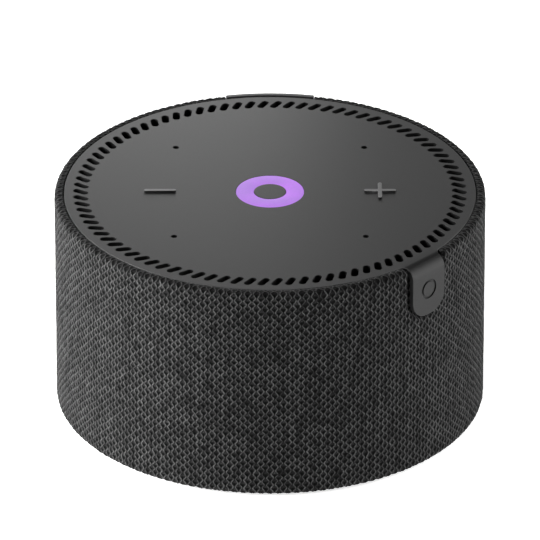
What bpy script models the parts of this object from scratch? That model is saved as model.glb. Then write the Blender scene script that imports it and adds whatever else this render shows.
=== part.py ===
"""Round, fabric-covered smart home hub: a voice and touch hub with an up-firing speaker.

The frame is metres, +Z up, with the origin at the centre of the foot's underside. The front
faces -Y and the connector plate faces +Y. All sizes below are millimetres and are turned into
metres by MM when a mesh is made. Touching pieces keep GAP between them.
"""

import math

import bmesh
import bpy
from mathutils import Matrix, Vector

MM = 0.001
GAP = 0.3

# Outer form
HEIGHT = 52.0
BODY_RADIUS = 49.0
FOOT_PROUD = 0.6
FABRIC_THICKNESS = 1.0
EDGE_RADIUS = 0.9
LIP_RADIUS = 47.15

# Top panel
PANEL_RADIUS = LIP_RADIUS - GAP
PANEL_THICKNESS = 1.8
PANEL_CHAMFER = 0.2
SLOT_COUNT = 90
SLOT_RING_RADIUS = 43.05
SLOT_LENGTH = 3.6
SLOT_WIDTH = 1.5
SLOT_LEAN = math.radians(30)
LIGHT_RADIUS = 7.7
CAP_RADIUS = 3.7
MIC_OFFSET = 21.6
MIC_HOLE_RADIUS = 0.6
GLYPH_OFFSET = 25.0
GLYPH_LENGTH = 7.3
GLYPH_STROKE = 1.0
GLYPH_RAISE = 0.45

# Tab that hangs from the panel over the fabric
TAB_AZIMUTH = math.radians(-44)
TAB_WIDTH = 10.3
TAB_THICKNESS = 1.1
TAB_DROP = 12.9
TAB_CORNER = 4.6
TAB_BEND = 2.6
TAB_OUTER = BODY_RADIUS + 0.6
TAB_STEP = 0.05

# Connector plate at the rear
REAR_AZIMUTH = math.radians(90)
PLATE_HALF_ANGLE = math.radians(12.0)
PLATE_TOP_INNER = 47.7
PLATE_EDGE = 0.3
SEAM_HALF_ANGLE = math.radians(12.4)
PORT_Z = 14.0
BUTTON_Z = 36.0

# Inner shell
SHELL_OUTER = BODY_RADIUS - FABRIC_THICKNESS - GAP
SHELL_INNER = SHELL_OUTER - 2.0
SHELL_BOTTOM = 3.5
SHELL_RIM_TOP = HEIGHT - PANEL_THICKNESS - GAP
SHELL_RIB_TOP = SHELL_RIM_TOP + 0.4
SHELL_WINDOWS = 16
BRACKET_AZIMUTHS = [math.radians(a) for a in (30, 150, 270)]
BOSS_RADIUS_AT = 38.75
STAKE_RADIUS_AT = 38.5

# Base
FOOT_INNER, FOOT_OUTER, FOOT_THICKNESS = 34.0, 43.5, 1.5
COVER_TOP = 4.0
WEIGHT_RADIUS, WEIGHT_THICKNESS = 27.5, 2.0

# Main board
BOARD_BOTTOM, BOARD_TOP = 7.6, 8.8
BOARD_RADIUS = 35.0
BOARD_POST_AT = 31.0
PART_BOTTOM = BOARD_TOP + GAP

# Speaker chamber
CHAMBER_RADIUS = 33.0
CHAMBER_WALL = 1.6
CHAMBER_BOTTOM = 12.2
CHAMBER_TOP = 34.0
LID_BOTTOM, LID_TOP = CHAMBER_TOP + GAP, 36.3
EAR_WIDTH = 8.0

# Speaker driver
FLANGE_RADIUS = 28.5
FLANGE_BOTTOM, FLANGE_TOP = 37.2, 38.4
SPEAKER_SCREW_AT = 26.6
LEAD_HOLE = (20.8, -12.0)

# Top board
TOP_BOARD_RADIUS = 40.2
TOP_BOARD_BOTTOM, TOP_BOARD_TOP = 46.3, 47.5
TOP_PART_BOTTOM = TOP_BOARD_TOP + GAP
UNDER_PANEL = HEIGHT - PANEL_THICKNESS - GAP

# Port board, standing behind the connector plate
PORT_BOARD_Y0, PORT_BOARD_Y1 = 39.0, 40.0
PORT_PART_Y = PORT_BOARD_Y1 + GAP
PORT_POST_X, PORT_POST_Z = 5.2, 25.0

ROUND = 48
SMALL_ROUND = 24


# ---------------------------------------------------------------- materials


def make_material(name, colour, roughness, metallic=0.0, emission=None, alpha=1.0):
    material = bpy.data.materials.new(name)
    material.use_nodes = True
    shader = material.node_tree.nodes["Principled BSDF"]
    shader.inputs["Base Color"].default_value = (*colour, 1.0)
    shader.inputs["Roughness"].default_value = roughness
    shader.inputs["Metallic"].default_value = metallic
    shader.inputs["Alpha"].default_value = alpha
    if emission:
        shader.inputs["Emission Color"].default_value = (*emission, 1.0)
        shader.inputs["Emission Strength"].default_value = 2.0
    material.diffuse_color = (*colour, 1.0)
    return material


def make_materials():
    return {
        "panel": make_material("panel_plastic", (0.105, 0.105, 0.105), 0.42),
        "fabric": make_material("woven_fabric", (0.060, 0.060, 0.062), 0.92),
        "plate": make_material("plate_plastic", (0.095, 0.095, 0.095), 0.45),
        "black": make_material("black_plastic", (0.022, 0.022, 0.023), 0.55),
        "rubber": make_material("black_rubber", (0.030, 0.030, 0.030), 0.80),
        "board": make_material("circuit_board", (0.010, 0.085, 0.045), 0.45),
        "chip": make_material("chip_package", (0.018, 0.018, 0.020), 0.50),
        "steel": make_material("plated_steel", (0.55, 0.56, 0.57), 0.30, 1.0),
        "shield": make_material("tinned_shield", (0.66, 0.66, 0.64), 0.35, 1.0),
        "ferrite": make_material("ferrite", (0.050, 0.050, 0.052), 0.60),
        "copper": make_material("copper_wire", (0.60, 0.27, 0.12), 0.35, 1.0),
        "paper": make_material("cone_paper", (0.028, 0.028, 0.030), 0.85),
        "spider": make_material("spider_cloth", (0.48, 0.33, 0.12), 0.90),
        "foam": make_material("black_foam", (0.024, 0.024, 0.026), 0.95),
        "pad": make_material("conductive_foam", (0.20, 0.20, 0.21), 0.80),
        "film": make_material("ribbon_film", (0.72, 0.72, 0.70), 0.40),
        "mesh": make_material("acoustic_mesh", (0.012, 0.012, 0.013), 0.90),
        "lens": make_material("light_lens", (0.62, 0.42, 0.90), 0.35, 0.0, (0.52, 0.20, 0.95)),
        "cap": make_material("dark_cap", (0.100, 0.100, 0.100), 0.38),
        "led": make_material("led_package", (0.85, 0.85, 0.82), 0.40),
    }


# ---------------------------------------------------------------- mesh helpers


def finish_object(name, bm, material, location=(0, 0, 0), smooth=True):
    bmesh.ops.recalc_face_normals(bm, faces=bm.faces)
    mesh = bpy.data.meshes.new(name)
    bm.to_mesh(mesh)
    bm.free()
    obj = bpy.data.objects.new(name, mesh)
    bpy.context.scene.collection.objects.link(obj)
    obj.location = Vector(location) * MM
    if material is not None:
        mesh.materials.append(material)
    if smooth:
        mesh.shade_smooth()
        mesh.set_sharp_from_angle(angle=math.radians(32))
    return obj


def turned(points, segments=ROUND, start=0.0, sweep=2 * math.pi):
    """Turn a profile of (radius, z) points about Z. Points at radius 0 close it on the axis."""
    bm = bmesh.new()
    verts = [bm.verts.new((r * MM, 0, z * MM)) for r, z in points]
    closed = points[0][0] > 0 or points[-1][0] > 0
    edges = [bm.edges.new(pair) for pair in zip(verts, verts[1:])]
    if closed:
        edges.append(bm.edges.new((verts[-1], verts[0])))
    bmesh.ops.rotate(bm, verts=verts, matrix=Matrix.Rotation(start, 3, "Z"))
    full = sweep >= 2 * math.pi
    bmesh.ops.spin(bm, geom=verts + edges, axis=(0, 0, 1), cent=(0, 0, 0), angle=sweep, steps=segments)
    bmesh.ops.remove_doubles(bm, verts=bm.verts, dist=1e-6)
    bmesh.ops.dissolve_degenerate(bm, dist=1e-8, edges=bm.edges)
    if not full:
        bmesh.ops.holes_fill(bm, edges=[e for e in bm.edges if e.is_boundary], sides=0)
    return bm


def extruded(outline, low, high):
    """Extrude a closed (x, y) outline from z = low to z = high."""
    bm = bmesh.new()
    face = bm.faces.new([bm.verts.new((x * MM, y * MM, low * MM)) for x, y in outline])
    top = bmesh.ops.extrude_face_region(bm, geom=[face])["geom"]
    moved = [v for v in top if isinstance(v, bmesh.types.BMVert)]
    bmesh.ops.translate(bm, verts=moved, vec=(0, 0, (high - low) * MM))
    return bm


def stadium(length, width, per_end=6):
    """Outline of a slot with round ends, its long side along X."""
    radius = width / 2
    reach = length / 2 - radius
    outline = []
    for side, centre in ((-1, reach), (1, -reach)):
        for step in range(per_end):
            angle = side * math.pi / 2 + math.pi * step / (per_end - 1)
            outline.append((centre + radius * math.cos(angle), radius * math.sin(angle)))
    return outline


def circle(radius, points=SMALL_ROUND):
    return [
        (radius * math.cos(2 * math.pi * i / points), radius * math.sin(2 * math.pi * i / points))
        for i in range(points)
    ]


def box(size, centre=(0, 0, 0)):
    bm = bmesh.new()
    bmesh.ops.create_cube(bm, size=1.0)
    bmesh.ops.scale(bm, verts=bm.verts, vec=Vector(size) * MM)
    bmesh.ops.translate(bm, verts=bm.verts, vec=Vector(centre) * MM)
    return bm


def radial_box(radius_low, radius_high, width, low, high, azimuth):
    """A box that reaches outward from the axis at an azimuth."""
    size = (radius_high - radius_low, width, high - low)
    centre = ((radius_high + radius_low) / 2, 0, (high + low) / 2)
    bm = box(size, centre)
    bmesh.ops.rotate(bm, verts=bm.verts, matrix=Matrix.Rotation(azimuth, 3, "Z"))
    return bm


def at_azimuth(radius, azimuth):
    return radius * math.cos(azimuth), radius * math.sin(azimuth)


def cylinder(radius, low, high, centre=(0, 0), points=SMALL_ROUND):
    bm = extruded(circle(radius, points), low, high)
    bmesh.ops.translate(bm, verts=bm.verts, vec=(centre[0] * MM, centre[1] * MM, 0))
    return bm


def facing_rear(outline, y_low, y_high, x, z):
    """Extrude an (x, z) outline along +Y between two y values, centred on x and z."""
    bm = extruded(outline, y_low, y_high)
    turn = Matrix(((1, 0, 0), (0, 0, 1), (0, 1, 0)))
    bmesh.ops.transform(bm, verts=bm.verts, matrix=turn.to_4x4())
    bmesh.ops.translate(bm, verts=bm.verts, vec=(x * MM, 0, z * MM))
    return bm


def merge(bms):
    """Put separate bodies into one mesh, for cutters."""
    merged = bmesh.new()
    for bm in bms:
        mesh = bpy.data.meshes.new("scratch")
        bmesh.ops.recalc_face_normals(bm, faces=bm.faces)
        bm.to_mesh(mesh)
        bm.free()
        merged.from_mesh(mesh)
        bpy.data.meshes.remove(mesh)
    return merged


def combine(obj, bm, operation, label):
    """Add a Boolean modifier whose tool is a hidden helper object."""
    tool = finish_object(f"{obj.name}_{label}", bm, None, smooth=False)
    tool.hide_render = True
    tool.display_type = "WIRE"
    modifier = obj.modifiers.new(label, "BOOLEAN")
    modifier.operation = operation
    modifier.solver = "EXACT"
    modifier.object = tool
    return obj


def cut(obj, bm, label):
    return combine(obj, bm, "DIFFERENCE", label)


def add(obj, bm, label):
    return combine(obj, bm, "UNION", label)


def screw(name, material, head_radius, head_height, shank_radius, shank_length, location, upward):
    """A pan-head screw along Z. The head's outer face is at the location."""
    side = -1 if upward else 1
    socket_radius = head_radius * 0.45
    socket_depth = head_height * 0.6
    profile = [
        (0, -socket_depth),
        (socket_radius, -socket_depth),
        (socket_radius, 0),
        (head_radius * 0.85, 0),
        (head_radius, -head_height * 0.5),
        (head_radius, -head_height),
        (shank_radius, -head_height),
        (shank_radius, -head_height - shank_length),
        (0, -head_height - shank_length),
    ]
    bm = turned([(r, z * side) for r, z in profile], segments=8)
    return finish_object(name, bm, material, location)


# ---------------------------------------------------------------- outside


def wall_profile():
    """Cross-section of the skin: side wall with a lip turned in at the top and the bottom."""
    inner = BODY_RADIUS - FABRIC_THICKNESS
    low = FOOT_PROUD
    profile = [(LIP_RADIUS, HEIGHT - 0.1 - FABRIC_THICKNESS), (LIP_RADIUS, HEIGHT - 0.1)]
    for step in range(4):
        angle = math.pi / 2 * (1 - step / 3)
        reach = EDGE_RADIUS
        profile.append((
            BODY_RADIUS - reach + reach * math.cos(angle),
            HEIGHT - 0.1 - reach + reach * math.sin(angle),
        ))
    for step in range(3):
        angle = -math.pi / 4 * step
        reach = EDGE_RADIUS * 0.8
        profile.append((
            BODY_RADIUS - reach + reach * math.cos(angle),
            low + reach + reach * math.sin(angle),
        ))
    profile += [
        (LIP_RADIUS, low),
        (LIP_RADIUS, low + FABRIC_THICKNESS),
        (inner, low + FABRIC_THICKNESS),
        (inner, HEIGHT - 0.1 - FABRIC_THICKNESS),
    ]
    return profile


def make_fabric_sleeve(materials):
    sweep = 2 * math.pi - 2 * SEAM_HALF_ANGLE
    bm = turned(wall_profile(), 52, REAR_AZIMUTH + SEAM_HALF_ANGLE, sweep)
    sleeve = finish_object("fabric_sleeve", bm, materials["fabric"])
    cut(sleeve, tab_outline(GAP), "tab_notch")


def plate_profile():
    """Section of the rear plate: level on top, level with the panel, with small corner breaks."""
    low = FOOT_PROUD
    inner = BODY_RADIUS - FABRIC_THICKNESS
    return [
        (PLATE_TOP_INNER, HEIGHT - FABRIC_THICKNESS),
        (PLATE_TOP_INNER, HEIGHT),
        (BODY_RADIUS - PLATE_EDGE, HEIGHT),
        (BODY_RADIUS, HEIGHT - PLATE_EDGE),
        (BODY_RADIUS, low + PLATE_EDGE),
        (BODY_RADIUS - PLATE_EDGE, low),
        (LIP_RADIUS, low),
        (LIP_RADIUS, low + FABRIC_THICKNESS),
        (inner, low + FABRIC_THICKNESS),
        (inner, HEIGHT - FABRIC_THICKNESS),
    ]


def make_rear_plate(materials):
    start = REAR_AZIMUTH - PLATE_HALF_ANGLE
    bm = turned(plate_profile(), 8, start, 2 * PLATE_HALF_ANGLE)
    plate = finish_object("rear_plate", bm, materials["plate"])
    port_pocket = facing_rear(stadium(12.6, 7.0), 44, 52, 0, PORT_Z)
    button_hole = facing_rear(stadium(9.0, 4.4), 44, 52, 0, BUTTON_Z)
    cut(plate, merge([port_pocket, button_hole]), "holes")


def tab_body():
    """The tab: a bent strip, trimmed to a tongue with round corners."""
    top = HEIGHT - TAB_STEP
    root = PANEL_RADIUS - 1.7
    bend_centre = (TAB_OUTER - TAB_BEND, top - TAB_BEND)
    inner_bend = TAB_BEND - TAB_THICKNESS
    turns = [math.pi / 2 * (1 - step / 6) for step in range(7)]
    outer = [(bend_centre[0] + TAB_BEND * math.cos(a), bend_centre[1] + TAB_BEND * math.sin(a)) for a in turns]
    inner = [(bend_centre[0] + inner_bend * math.cos(a), bend_centre[1] + inner_bend * math.sin(a)) for a in turns]
    end = HEIGHT - TAB_DROP - 1.0
    profile = [(root, top), *outer, (TAB_OUTER, end), (TAB_OUTER - TAB_THICKNESS, end)]
    profile += [*reversed(inner), (root, top - TAB_THICKNESS)]
    strip = extruded(profile, -TAB_WIDTH, TAB_WIDTH)
    # Stand the strip up: the profile's (x, y) become radius and z, its extrusion the tangent.
    stand = Matrix(((1, 0, 0), (0, 0, -1), (0, 1, 0)))
    bmesh.ops.transform(strip, verts=strip.verts, matrix=stand.to_4x4())
    bmesh.ops.rotate(strip, verts=strip.verts, matrix=Matrix.Rotation(TAB_AZIMUTH, 3, "Z"))
    return strip


def tab_outline(grow=0.0):
    """Prism that trims the strip to its tongue shape, seen square on."""
    half = TAB_WIDTH / 2 + grow
    end = HEIGHT - TAB_DROP - grow
    corner = TAB_CORNER + grow
    outline = [(half, HEIGHT + 1), (-half, HEIGHT + 1)]
    for centre, first in ((-half + corner, math.pi), (half - corner, 1.5 * math.pi)):
        for step in range(6):
            angle = first + math.pi / 2 * step / 5
            outline.append((
                centre + corner * math.cos(angle),
                end + corner + corner * math.sin(angle),
            ))
    prism = extruded(outline, 40, 55)
    stand = Matrix(((0, 0, 1), (1, 0, 0), (0, 1, 0)))
    bmesh.ops.transform(prism, verts=prism.verts, matrix=stand.to_4x4())
    bmesh.ops.rotate(prism, verts=prism.verts, matrix=Matrix.Rotation(TAB_AZIMUTH, 3, "Z"))
    return prism


def slot_cutters():
    bodies = []
    for index in range(SLOT_COUNT):
        azimuth = 2 * math.pi * index / SLOT_COUNT
        bm = extruded(stadium(SLOT_LENGTH, SLOT_WIDTH, 3), HEIGHT - 5, HEIGHT + 1)
        bmesh.ops.rotate(bm, verts=bm.verts, matrix=Matrix.Rotation(-SLOT_LEAN, 3, "Z"))
        bmesh.ops.translate(bm, verts=bm.verts, vec=(SLOT_RING_RADIUS * MM, 0, 0))
        bmesh.ops.rotate(bm, verts=bm.verts, matrix=Matrix.Rotation(azimuth, 3, "Z"))
        bodies.append(bm)
    return merge(bodies)


def make_top_panel(materials):
    low = HEIGHT - PANEL_THICKNESS
    hole = LIGHT_RADIUS + GAP / 2
    profile = [
        (hole, low),
        (hole, HEIGHT),
        (PANEL_RADIUS - PANEL_CHAMFER, HEIGHT),
        (PANEL_RADIUS, HEIGHT - PANEL_CHAMFER),
        (PANEL_RADIUS, low),
    ]
    panel = finish_object("top_panel", turned(profile, 72), materials["panel"])
    tab = finish_object("top_panel_tab", tab_body(), None, smooth=False)
    tab.hide_render = True
    tab.display_type = "WIRE"
    combine(tab, tab_outline(), "INTERSECT", "outline")
    joined = panel.modifiers.new("tab", "BOOLEAN")
    joined.operation = "UNION"
    joined.solver = "EXACT"
    joined.object = tab
    cut(panel, slot_cutters(), "slots")
    mark_low, mark_high = HEIGHT - PANEL_THICKNESS / 2, HEIGHT + GLYPH_RAISE
    minus = extruded(stadium(GLYPH_LENGTH, GLYPH_STROKE, 5), mark_low, mark_high)
    bmesh.ops.translate(minus, verts=minus.verts, vec=(-GLYPH_OFFSET * MM, 0, 0))
    plus = extruded(stadium(GLYPH_LENGTH, GLYPH_STROKE, 5), mark_low, mark_high)
    upright = plus.copy()
    bmesh.ops.rotate(upright, verts=upright.verts, matrix=Matrix.Rotation(math.pi / 2, 3, "Z"))
    for bar in (plus, upright):
        bmesh.ops.translate(bar, verts=bar.verts, vec=(GLYPH_OFFSET * MM, 0, 0))
    mic_holes = [
        cylinder(MIC_HOLE_RADIUS, low - 1, HEIGHT + 1, (x, y), 12) for x, y in mic_places()
    ]
    cut(panel, merge(mic_holes), "mic_holes")
    combine(panel, merge([minus, plus]), "UNION", "marks")
    combine(panel, upright, "UNION", "plus_upright")


def mic_places():
    return [(sx * MIC_OFFSET, sy * MIC_OFFSET) for sx, sy in ((1, 1), (-1, 1), (-1, -1), (1, -1))]


def make_inner_shell(materials):
    profile = [
        (SHELL_INNER, SHELL_BOTTOM),
        (SHELL_OUTER, SHELL_BOTTOM),
        (SHELL_OUTER, SHELL_RIB_TOP),
        (LIP_RADIUS + 0.05, SHELL_RIB_TOP),
        (LIP_RADIUS + 0.05, SHELL_RIM_TOP),
        (SHELL_INNER, SHELL_RIM_TOP),
    ]
    shell = finish_object("inner_shell", turned(profile), materials["black"])
    windows = []
    pitch = 2 * math.pi / SHELL_WINDOWS
    for index in range(SHELL_WINDOWS):
        azimuth = pitch * (index + 0.5)
        if abs(azimuth - REAR_AZIMUTH) > pitch:
            windows.append(radial_box(SHELL_INNER - 2, SHELL_OUTER + 2, 8, 15, 27, azimuth))
    windows.append(facing_rear(stadium(9.6, 3.9), 43, 50, 0, PORT_Z))
    windows.append(facing_rear(stadium(9.0, 4.4), 43, 50, 0, BUTTON_Z))
    cut(shell, merge(windows), "windows")
    wall = SHELL_INNER + 0.5
    for index, azimuth in enumerate(BRACKET_AZIMUTHS):
        boss_at = at_azimuth(BOSS_RADIUS_AT, azimuth)
        stake_at = at_azimuth(STAKE_RADIUS_AT, azimuth)
        add(shell, radial_box(BOSS_RADIUS_AT, wall, 2.4, COVER_TOP + GAP, 13, azimuth), f"rib_{index}")
        add(shell, cylinder(3.0, COVER_TOP + GAP, 13, boss_at, 10), f"boss_{index}")
        add(shell, radial_box(36.8, wall, EAR_WIDTH, 28.5, CHAMBER_TOP, azimuth), f"shelf_{index}")
        add(shell, radial_box(36.4, wall, EAR_WIDTH, 42.5, TOP_BOARD_BOTTOM - GAP, azimuth), f"arm_{index}")
        add(shell, cylinder(1.2, 44, TOP_PART_BOTTOM + 0.4, stake_at, 8), f"stake_{index}")
        add(shell, cylinder(2.0, TOP_PART_BOTTOM, TOP_PART_BOTTOM + 0.8, stake_at, 8), f"stake_head_{index}")
        bores = [
            cylinder(1.3, COVER_TOP - 1, 12.2, boss_at, 8),
            cylinder(1.2, 29.5, CHAMBER_TOP + 1, boss_at, 8),
        ]
        cut(shell, merge(bores), f"bores_{index}")
    for side in (-1, 1):
        label = "left" if side < 0 else "right"
        place = (side * PORT_POST_X, PORT_POST_Z)
        add(shell, facing_rear(circle(2.2, 8), PORT_PART_Y, wall, *place), f"post_{label}")
        add(shell, facing_rear(circle(1.1, 8), PORT_BOARD_Y0 - GAP - 0.4, 42, *place), f"pin_{label}")
        head_y = PORT_BOARD_Y0 - GAP
        add(shell, facing_rear(circle(1.8, 8), head_y - 0.7, head_y, *place), f"pin_head_{label}")


# ---------------------------------------------------------------- base


def make_foot_pad(materials):
    profile = [
        (FOOT_INNER + 0.4, 0),
        (FOOT_OUTER - 0.4, 0),
        (FOOT_OUTER, 0.4),
        (FOOT_OUTER, FOOT_THICKNESS),
        (FOOT_INNER, FOOT_THICKNESS),
        (FOOT_INNER, 0.4),
    ]
    finish_object("foot_pad", turned(profile, 48), materials["rubber"])


def make_bottom_cover(materials):
    groove = FOOT_THICKNESS + GAP
    rim = LIP_RADIUS - GAP
    step = SHELL_INNER - GAP
    profile = [
        (0, FOOT_PROUD),
        (FOOT_INNER - GAP, FOOT_PROUD),
        (FOOT_INNER - GAP, groove),
        (FOOT_OUTER + GAP, groove),
        (FOOT_OUTER + GAP, FOOT_PROUD),
        (rim, FOOT_PROUD),
        (rim, SHELL_BOTTOM - GAP),
        (step, SHELL_BOTTOM - GAP),
        (step, COVER_TOP),
        (0, COVER_TOP),
    ]
    cover = finish_object("bottom_cover", turned(profile, 48), materials["black"])
    holes = []
    for azimuth in BRACKET_AZIMUTHS:
        hole = turned([(0, 1), (2.7, 1), (2.7, 3.1), (1.35, 3.1), (1.35, 5), (0, 5)], 10)
        bmesh.ops.translate(hole, verts=hole.verts, vec=Vector((*at_azimuth(BOSS_RADIUS_AT, azimuth), 0)) * MM)
        holes.append(hole)
    cut(cover, merge(holes), "screw_holes")
    for index in range(3):
        place = at_azimuth(BOARD_POST_AT, board_post_azimuth(index))
        add(cover, cylinder(2.4, COVER_TOP - 1, BOARD_BOTTOM - GAP, place, 8), f"post_{index}")
        add(cover, cylinder(1.2, COVER_TOP + 1, PART_BOTTOM + 0.3, place, 8), f"stake_{index}")
        add(cover, cylinder(2.0, PART_BOTTOM, PART_BOTTOM + 0.7, place, 8), f"stake_head_{index}")


def board_post_azimuth(index):
    return math.radians(120 * index)


def make_base_screws(materials):
    for index, azimuth in enumerate(BRACKET_AZIMUTHS):
        x, y = at_azimuth(BOSS_RADIUS_AT, azimuth)
        screw(f"base_screw_{index + 1}", materials["steel"], 2.3, 0.9, 1.0, 8.0, (x, y, 1.8), True)


def make_base_weight(materials):
    low = COVER_TOP + GAP
    high = low + WEIGHT_THICKNESS
    profile = [(3, low), (WEIGHT_RADIUS, low), (WEIGHT_RADIUS, high), (3, high)]
    finish_object("base_weight", turned(profile, 36), materials["steel"])


# ---------------------------------------------------------------- main board


def make_main_board(materials):
    bm = extruded(circle(BOARD_RADIUS, 48), BOARD_BOTTOM, BOARD_TOP)
    board = finish_object("main_board", bm, materials["board"])
    holes = []
    for index in range(3):
        place = at_azimuth(BOARD_POST_AT, board_post_azimuth(index))
        holes.append(cylinder(1.5, BOARD_BOTTOM - 1, BOARD_TOP + 1, place, 12))
    cut(board, merge(holes), "holes")


def chip(name, material, size, place, edge=0.25):
    """A flat package on the main board, its upper edges chamfered by a Bevel modifier."""
    centre = (place[0], place[1], PART_BOTTOM + size[2] / 2)
    obj = finish_object(name, box(size), material, centre, smooth=False)
    bevel = obj.modifiers.new("edges", "BEVEL")
    bevel.width = edge * MM
    bevel.segments = 1
    return obj


def make_board_parts(materials):
    chip("processor_shield", materials["shield"], (20, 16, 2.0), (-11, 4))
    chip("radio_shield", materials["shield"], (13, 11, 1.8), (14, 14))
    chip("amplifier_chip", materials["chip"], (6, 6, 0.9), (10, -8))
    chip("power_inductor", materials["ferrite"], (6, 6, 2.4), (-4, -20), 0.6)
    chip("speaker_connector", materials["film"], (5, 5, 2.2), LEAD_HOLE)


# ---------------------------------------------------------------- speaker


def make_chamber(materials):
    wall = CHAMBER_RADIUS - CHAMBER_WALL
    floor = CHAMBER_BOTTOM + CHAMBER_WALL
    cup_profile = [
        (0, CHAMBER_BOTTOM),
        (CHAMBER_RADIUS, CHAMBER_BOTTOM),
        (CHAMBER_RADIUS, CHAMBER_TOP),
        (wall, CHAMBER_TOP),
        (wall, floor),
        (0, floor),
    ]
    cup = finish_object("chamber_cup", turned(cup_profile, 48), materials["black"])
    cut(cup, cylinder(1.4, CHAMBER_BOTTOM - 1, floor + 1, LEAD_HOLE, 12), "lead_hole")
    lid_profile = [
        (23.4, LID_BOTTOM),
        (CHAMBER_RADIUS, LID_BOTTOM),
        (CHAMBER_RADIUS, LID_TOP),
        (23.4, LID_TOP),
    ]
    lid = finish_object("chamber_lid", turned(lid_profile, 48), materials["black"])
    for index, azimuth in enumerate(BRACKET_AZIMUTHS):
        add(lid, radial_box(31, 42, EAR_WIDTH, LID_BOTTOM, LID_TOP, azimuth), f"ear_{index}")
    holes = [
        cylinder(1.2, LID_BOTTOM - 1, LID_TOP + 1, at_azimuth(BOSS_RADIUS_AT, a), 12)
        for a in BRACKET_AZIMUTHS
    ]
    holes += [
        cylinder(1.1, LID_TOP - 1.5, LID_TOP + 1, at_azimuth(SPEAKER_SCREW_AT, a), 10)
        for a in speaker_screw_azimuths()
    ]
    cut(lid, merge(holes), "holes")
    for index, azimuth in enumerate(BRACKET_AZIMUTHS):
        x, y = at_azimuth(BOSS_RADIUS_AT, azimuth)
        head_top = LID_TOP + GAP + 1.0
        screw(f"chamber_screw_{index + 1}", materials["steel"], 2.1, 1.0, 0.9, 6.0, (x, y, head_top), False)


def speaker_screw_azimuths():
    return [math.radians(45 + 90 * index) for index in range(4)]


def make_speaker_frame(materials):
    gasket_profile = [
        (23.7, LID_TOP + GAP),
        (FLANGE_RADIUS, LID_TOP + GAP),
        (FLANGE_RADIUS, FLANGE_BOTTOM - 0.1),
        (23.7, FLANGE_BOTTOM - 0.1),
    ]
    gasket = finish_object("speaker_gasket", turned(gasket_profile, 36), materials["foam"])
    basket_profile = [
        (9.0, 22.9),
        (17.2, 22.9),
        (17.2, 26.6),
        (23.3, FLANGE_BOTTOM),
        (FLANGE_RADIUS, FLANGE_BOTTOM),
        (FLANGE_RADIUS, FLANGE_TOP),
        (22.8, FLANGE_TOP),
        (22.6, 37.6),
        (17.0, 27.9),
        (16.7, 27.3),
        (15.0, 27.3),
        (15.0, 24.1),
        (9.0, 24.1),
    ]
    basket = finish_object("speaker_basket", turned(basket_profile, 28), materials["steel"])
    windows = [radial_box(14, 27, 13, 29.0, 35.6, math.radians(90 * k)) for k in range(4)]
    cut(basket, merge(windows), "windows")
    for obj, low, high in ((gasket, LID_TOP, FLANGE_BOTTOM), (basket, FLANGE_BOTTOM - 1, FLANGE_TOP + 1)):
        holes = [
            cylinder(1.1, low - 0.5, high + 0.5, at_azimuth(SPEAKER_SCREW_AT, a), 10)
            for a in speaker_screw_azimuths()
        ]
        cut(obj, merge(holes), "screw_holes")
    for index, azimuth in enumerate(speaker_screw_azimuths()):
        x, y = at_azimuth(SPEAKER_SCREW_AT, azimuth)
        head_top = FLANGE_TOP + GAP + 0.9
        screw(f"speaker_screw_{index + 1}", materials["steel"], 1.7, 0.9, 0.8, 3.3, (x, y, head_top), False)


def make_motor(materials):
    yoke_profile = [
        (0, 14.1),
        (14.5, 14.1),
        (14.5, 16.0),
        (5.6, 16.0),
        (5.6, 22.8),
        (0, 22.8),
    ]
    finish_object("speaker_yoke", turned(yoke_profile, 28), materials["steel"])
    magnet_profile = [(7.6, 16.3), (14.5, 16.3), (14.5, 20.3), (7.6, 20.3)]
    finish_object("speaker_magnet", turned(magnet_profile, 28), materials["ferrite"])
    plate_profile = [(6.9, 20.6), (14.0, 20.6), (14.0, 22.6), (6.9, 22.6)]
    finish_object("speaker_top_plate", turned(plate_profile, 28), materials["steel"])


def corrugated(points, thickness):
    """Close an open line of (radius, z) points into a skin of even vertical thickness."""
    return points + [(r, z + thickness) for r, z in reversed(points)]


def make_diaphragm(materials):
    coil_profile = [(5.95, 18.3), (6.5, 18.3), (6.5, 24.0), (6.3, 24.4), (6.3, 31.2), (5.95, 31.2)]
    finish_object("voice_coil", turned(coil_profile, 24), materials["copper"])
    cone_line = [(6.7, 30.4), (11.6, 34.2), (18.0, 38.1), (19.4, 38.1)]
    finish_object("speaker_cone", turned(corrugated(cone_line, 0.5), 36), materials["paper"])
    cap_line = [(8.4 * math.cos(a), 32.6 + 2.0 * math.sin(a)) for a in (0, 0.5, 1.0)]
    cap_line.append((0, 34.6))
    cap_inner = [(r * 0.95, z - 0.4) for r, z in cap_line[:-1]]
    cap_profile = [(0, 34.2), *reversed(cap_inner), *cap_line]
    finish_object("dust_cap", turned(cap_profile, 24), materials["paper"])
    waves = 2
    spider_line = []
    for step in range(2 * waves + 1):
        radius = 7.3 + (14.8 - 7.3) * step / (2 * waves)
        spider_line.append((radius, 28.2 + (0.35 if step % 2 else -0.35)))
    spider_line.append((16.2, 27.7))
    spider_line.insert(0, (6.7, 27.9))
    finish_object("speaker_spider", turned(corrugated(spider_line, 0.3), 24), materials["spider"])
    roll_middle, roll_radius = 21.2, 1.7
    roll_line = [(18.0, 38.9)]
    for step in range(5):
        angle = math.pi * (1 - step / 4)
        roll_line.append((roll_middle + roll_radius * math.cos(angle), 38.9 + roll_radius * math.sin(angle)))
    roll_line.append((24.4, 38.9))
    finish_object("speaker_surround", turned(corrugated(roll_line, 0.4), 28), materials["rubber"])


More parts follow.
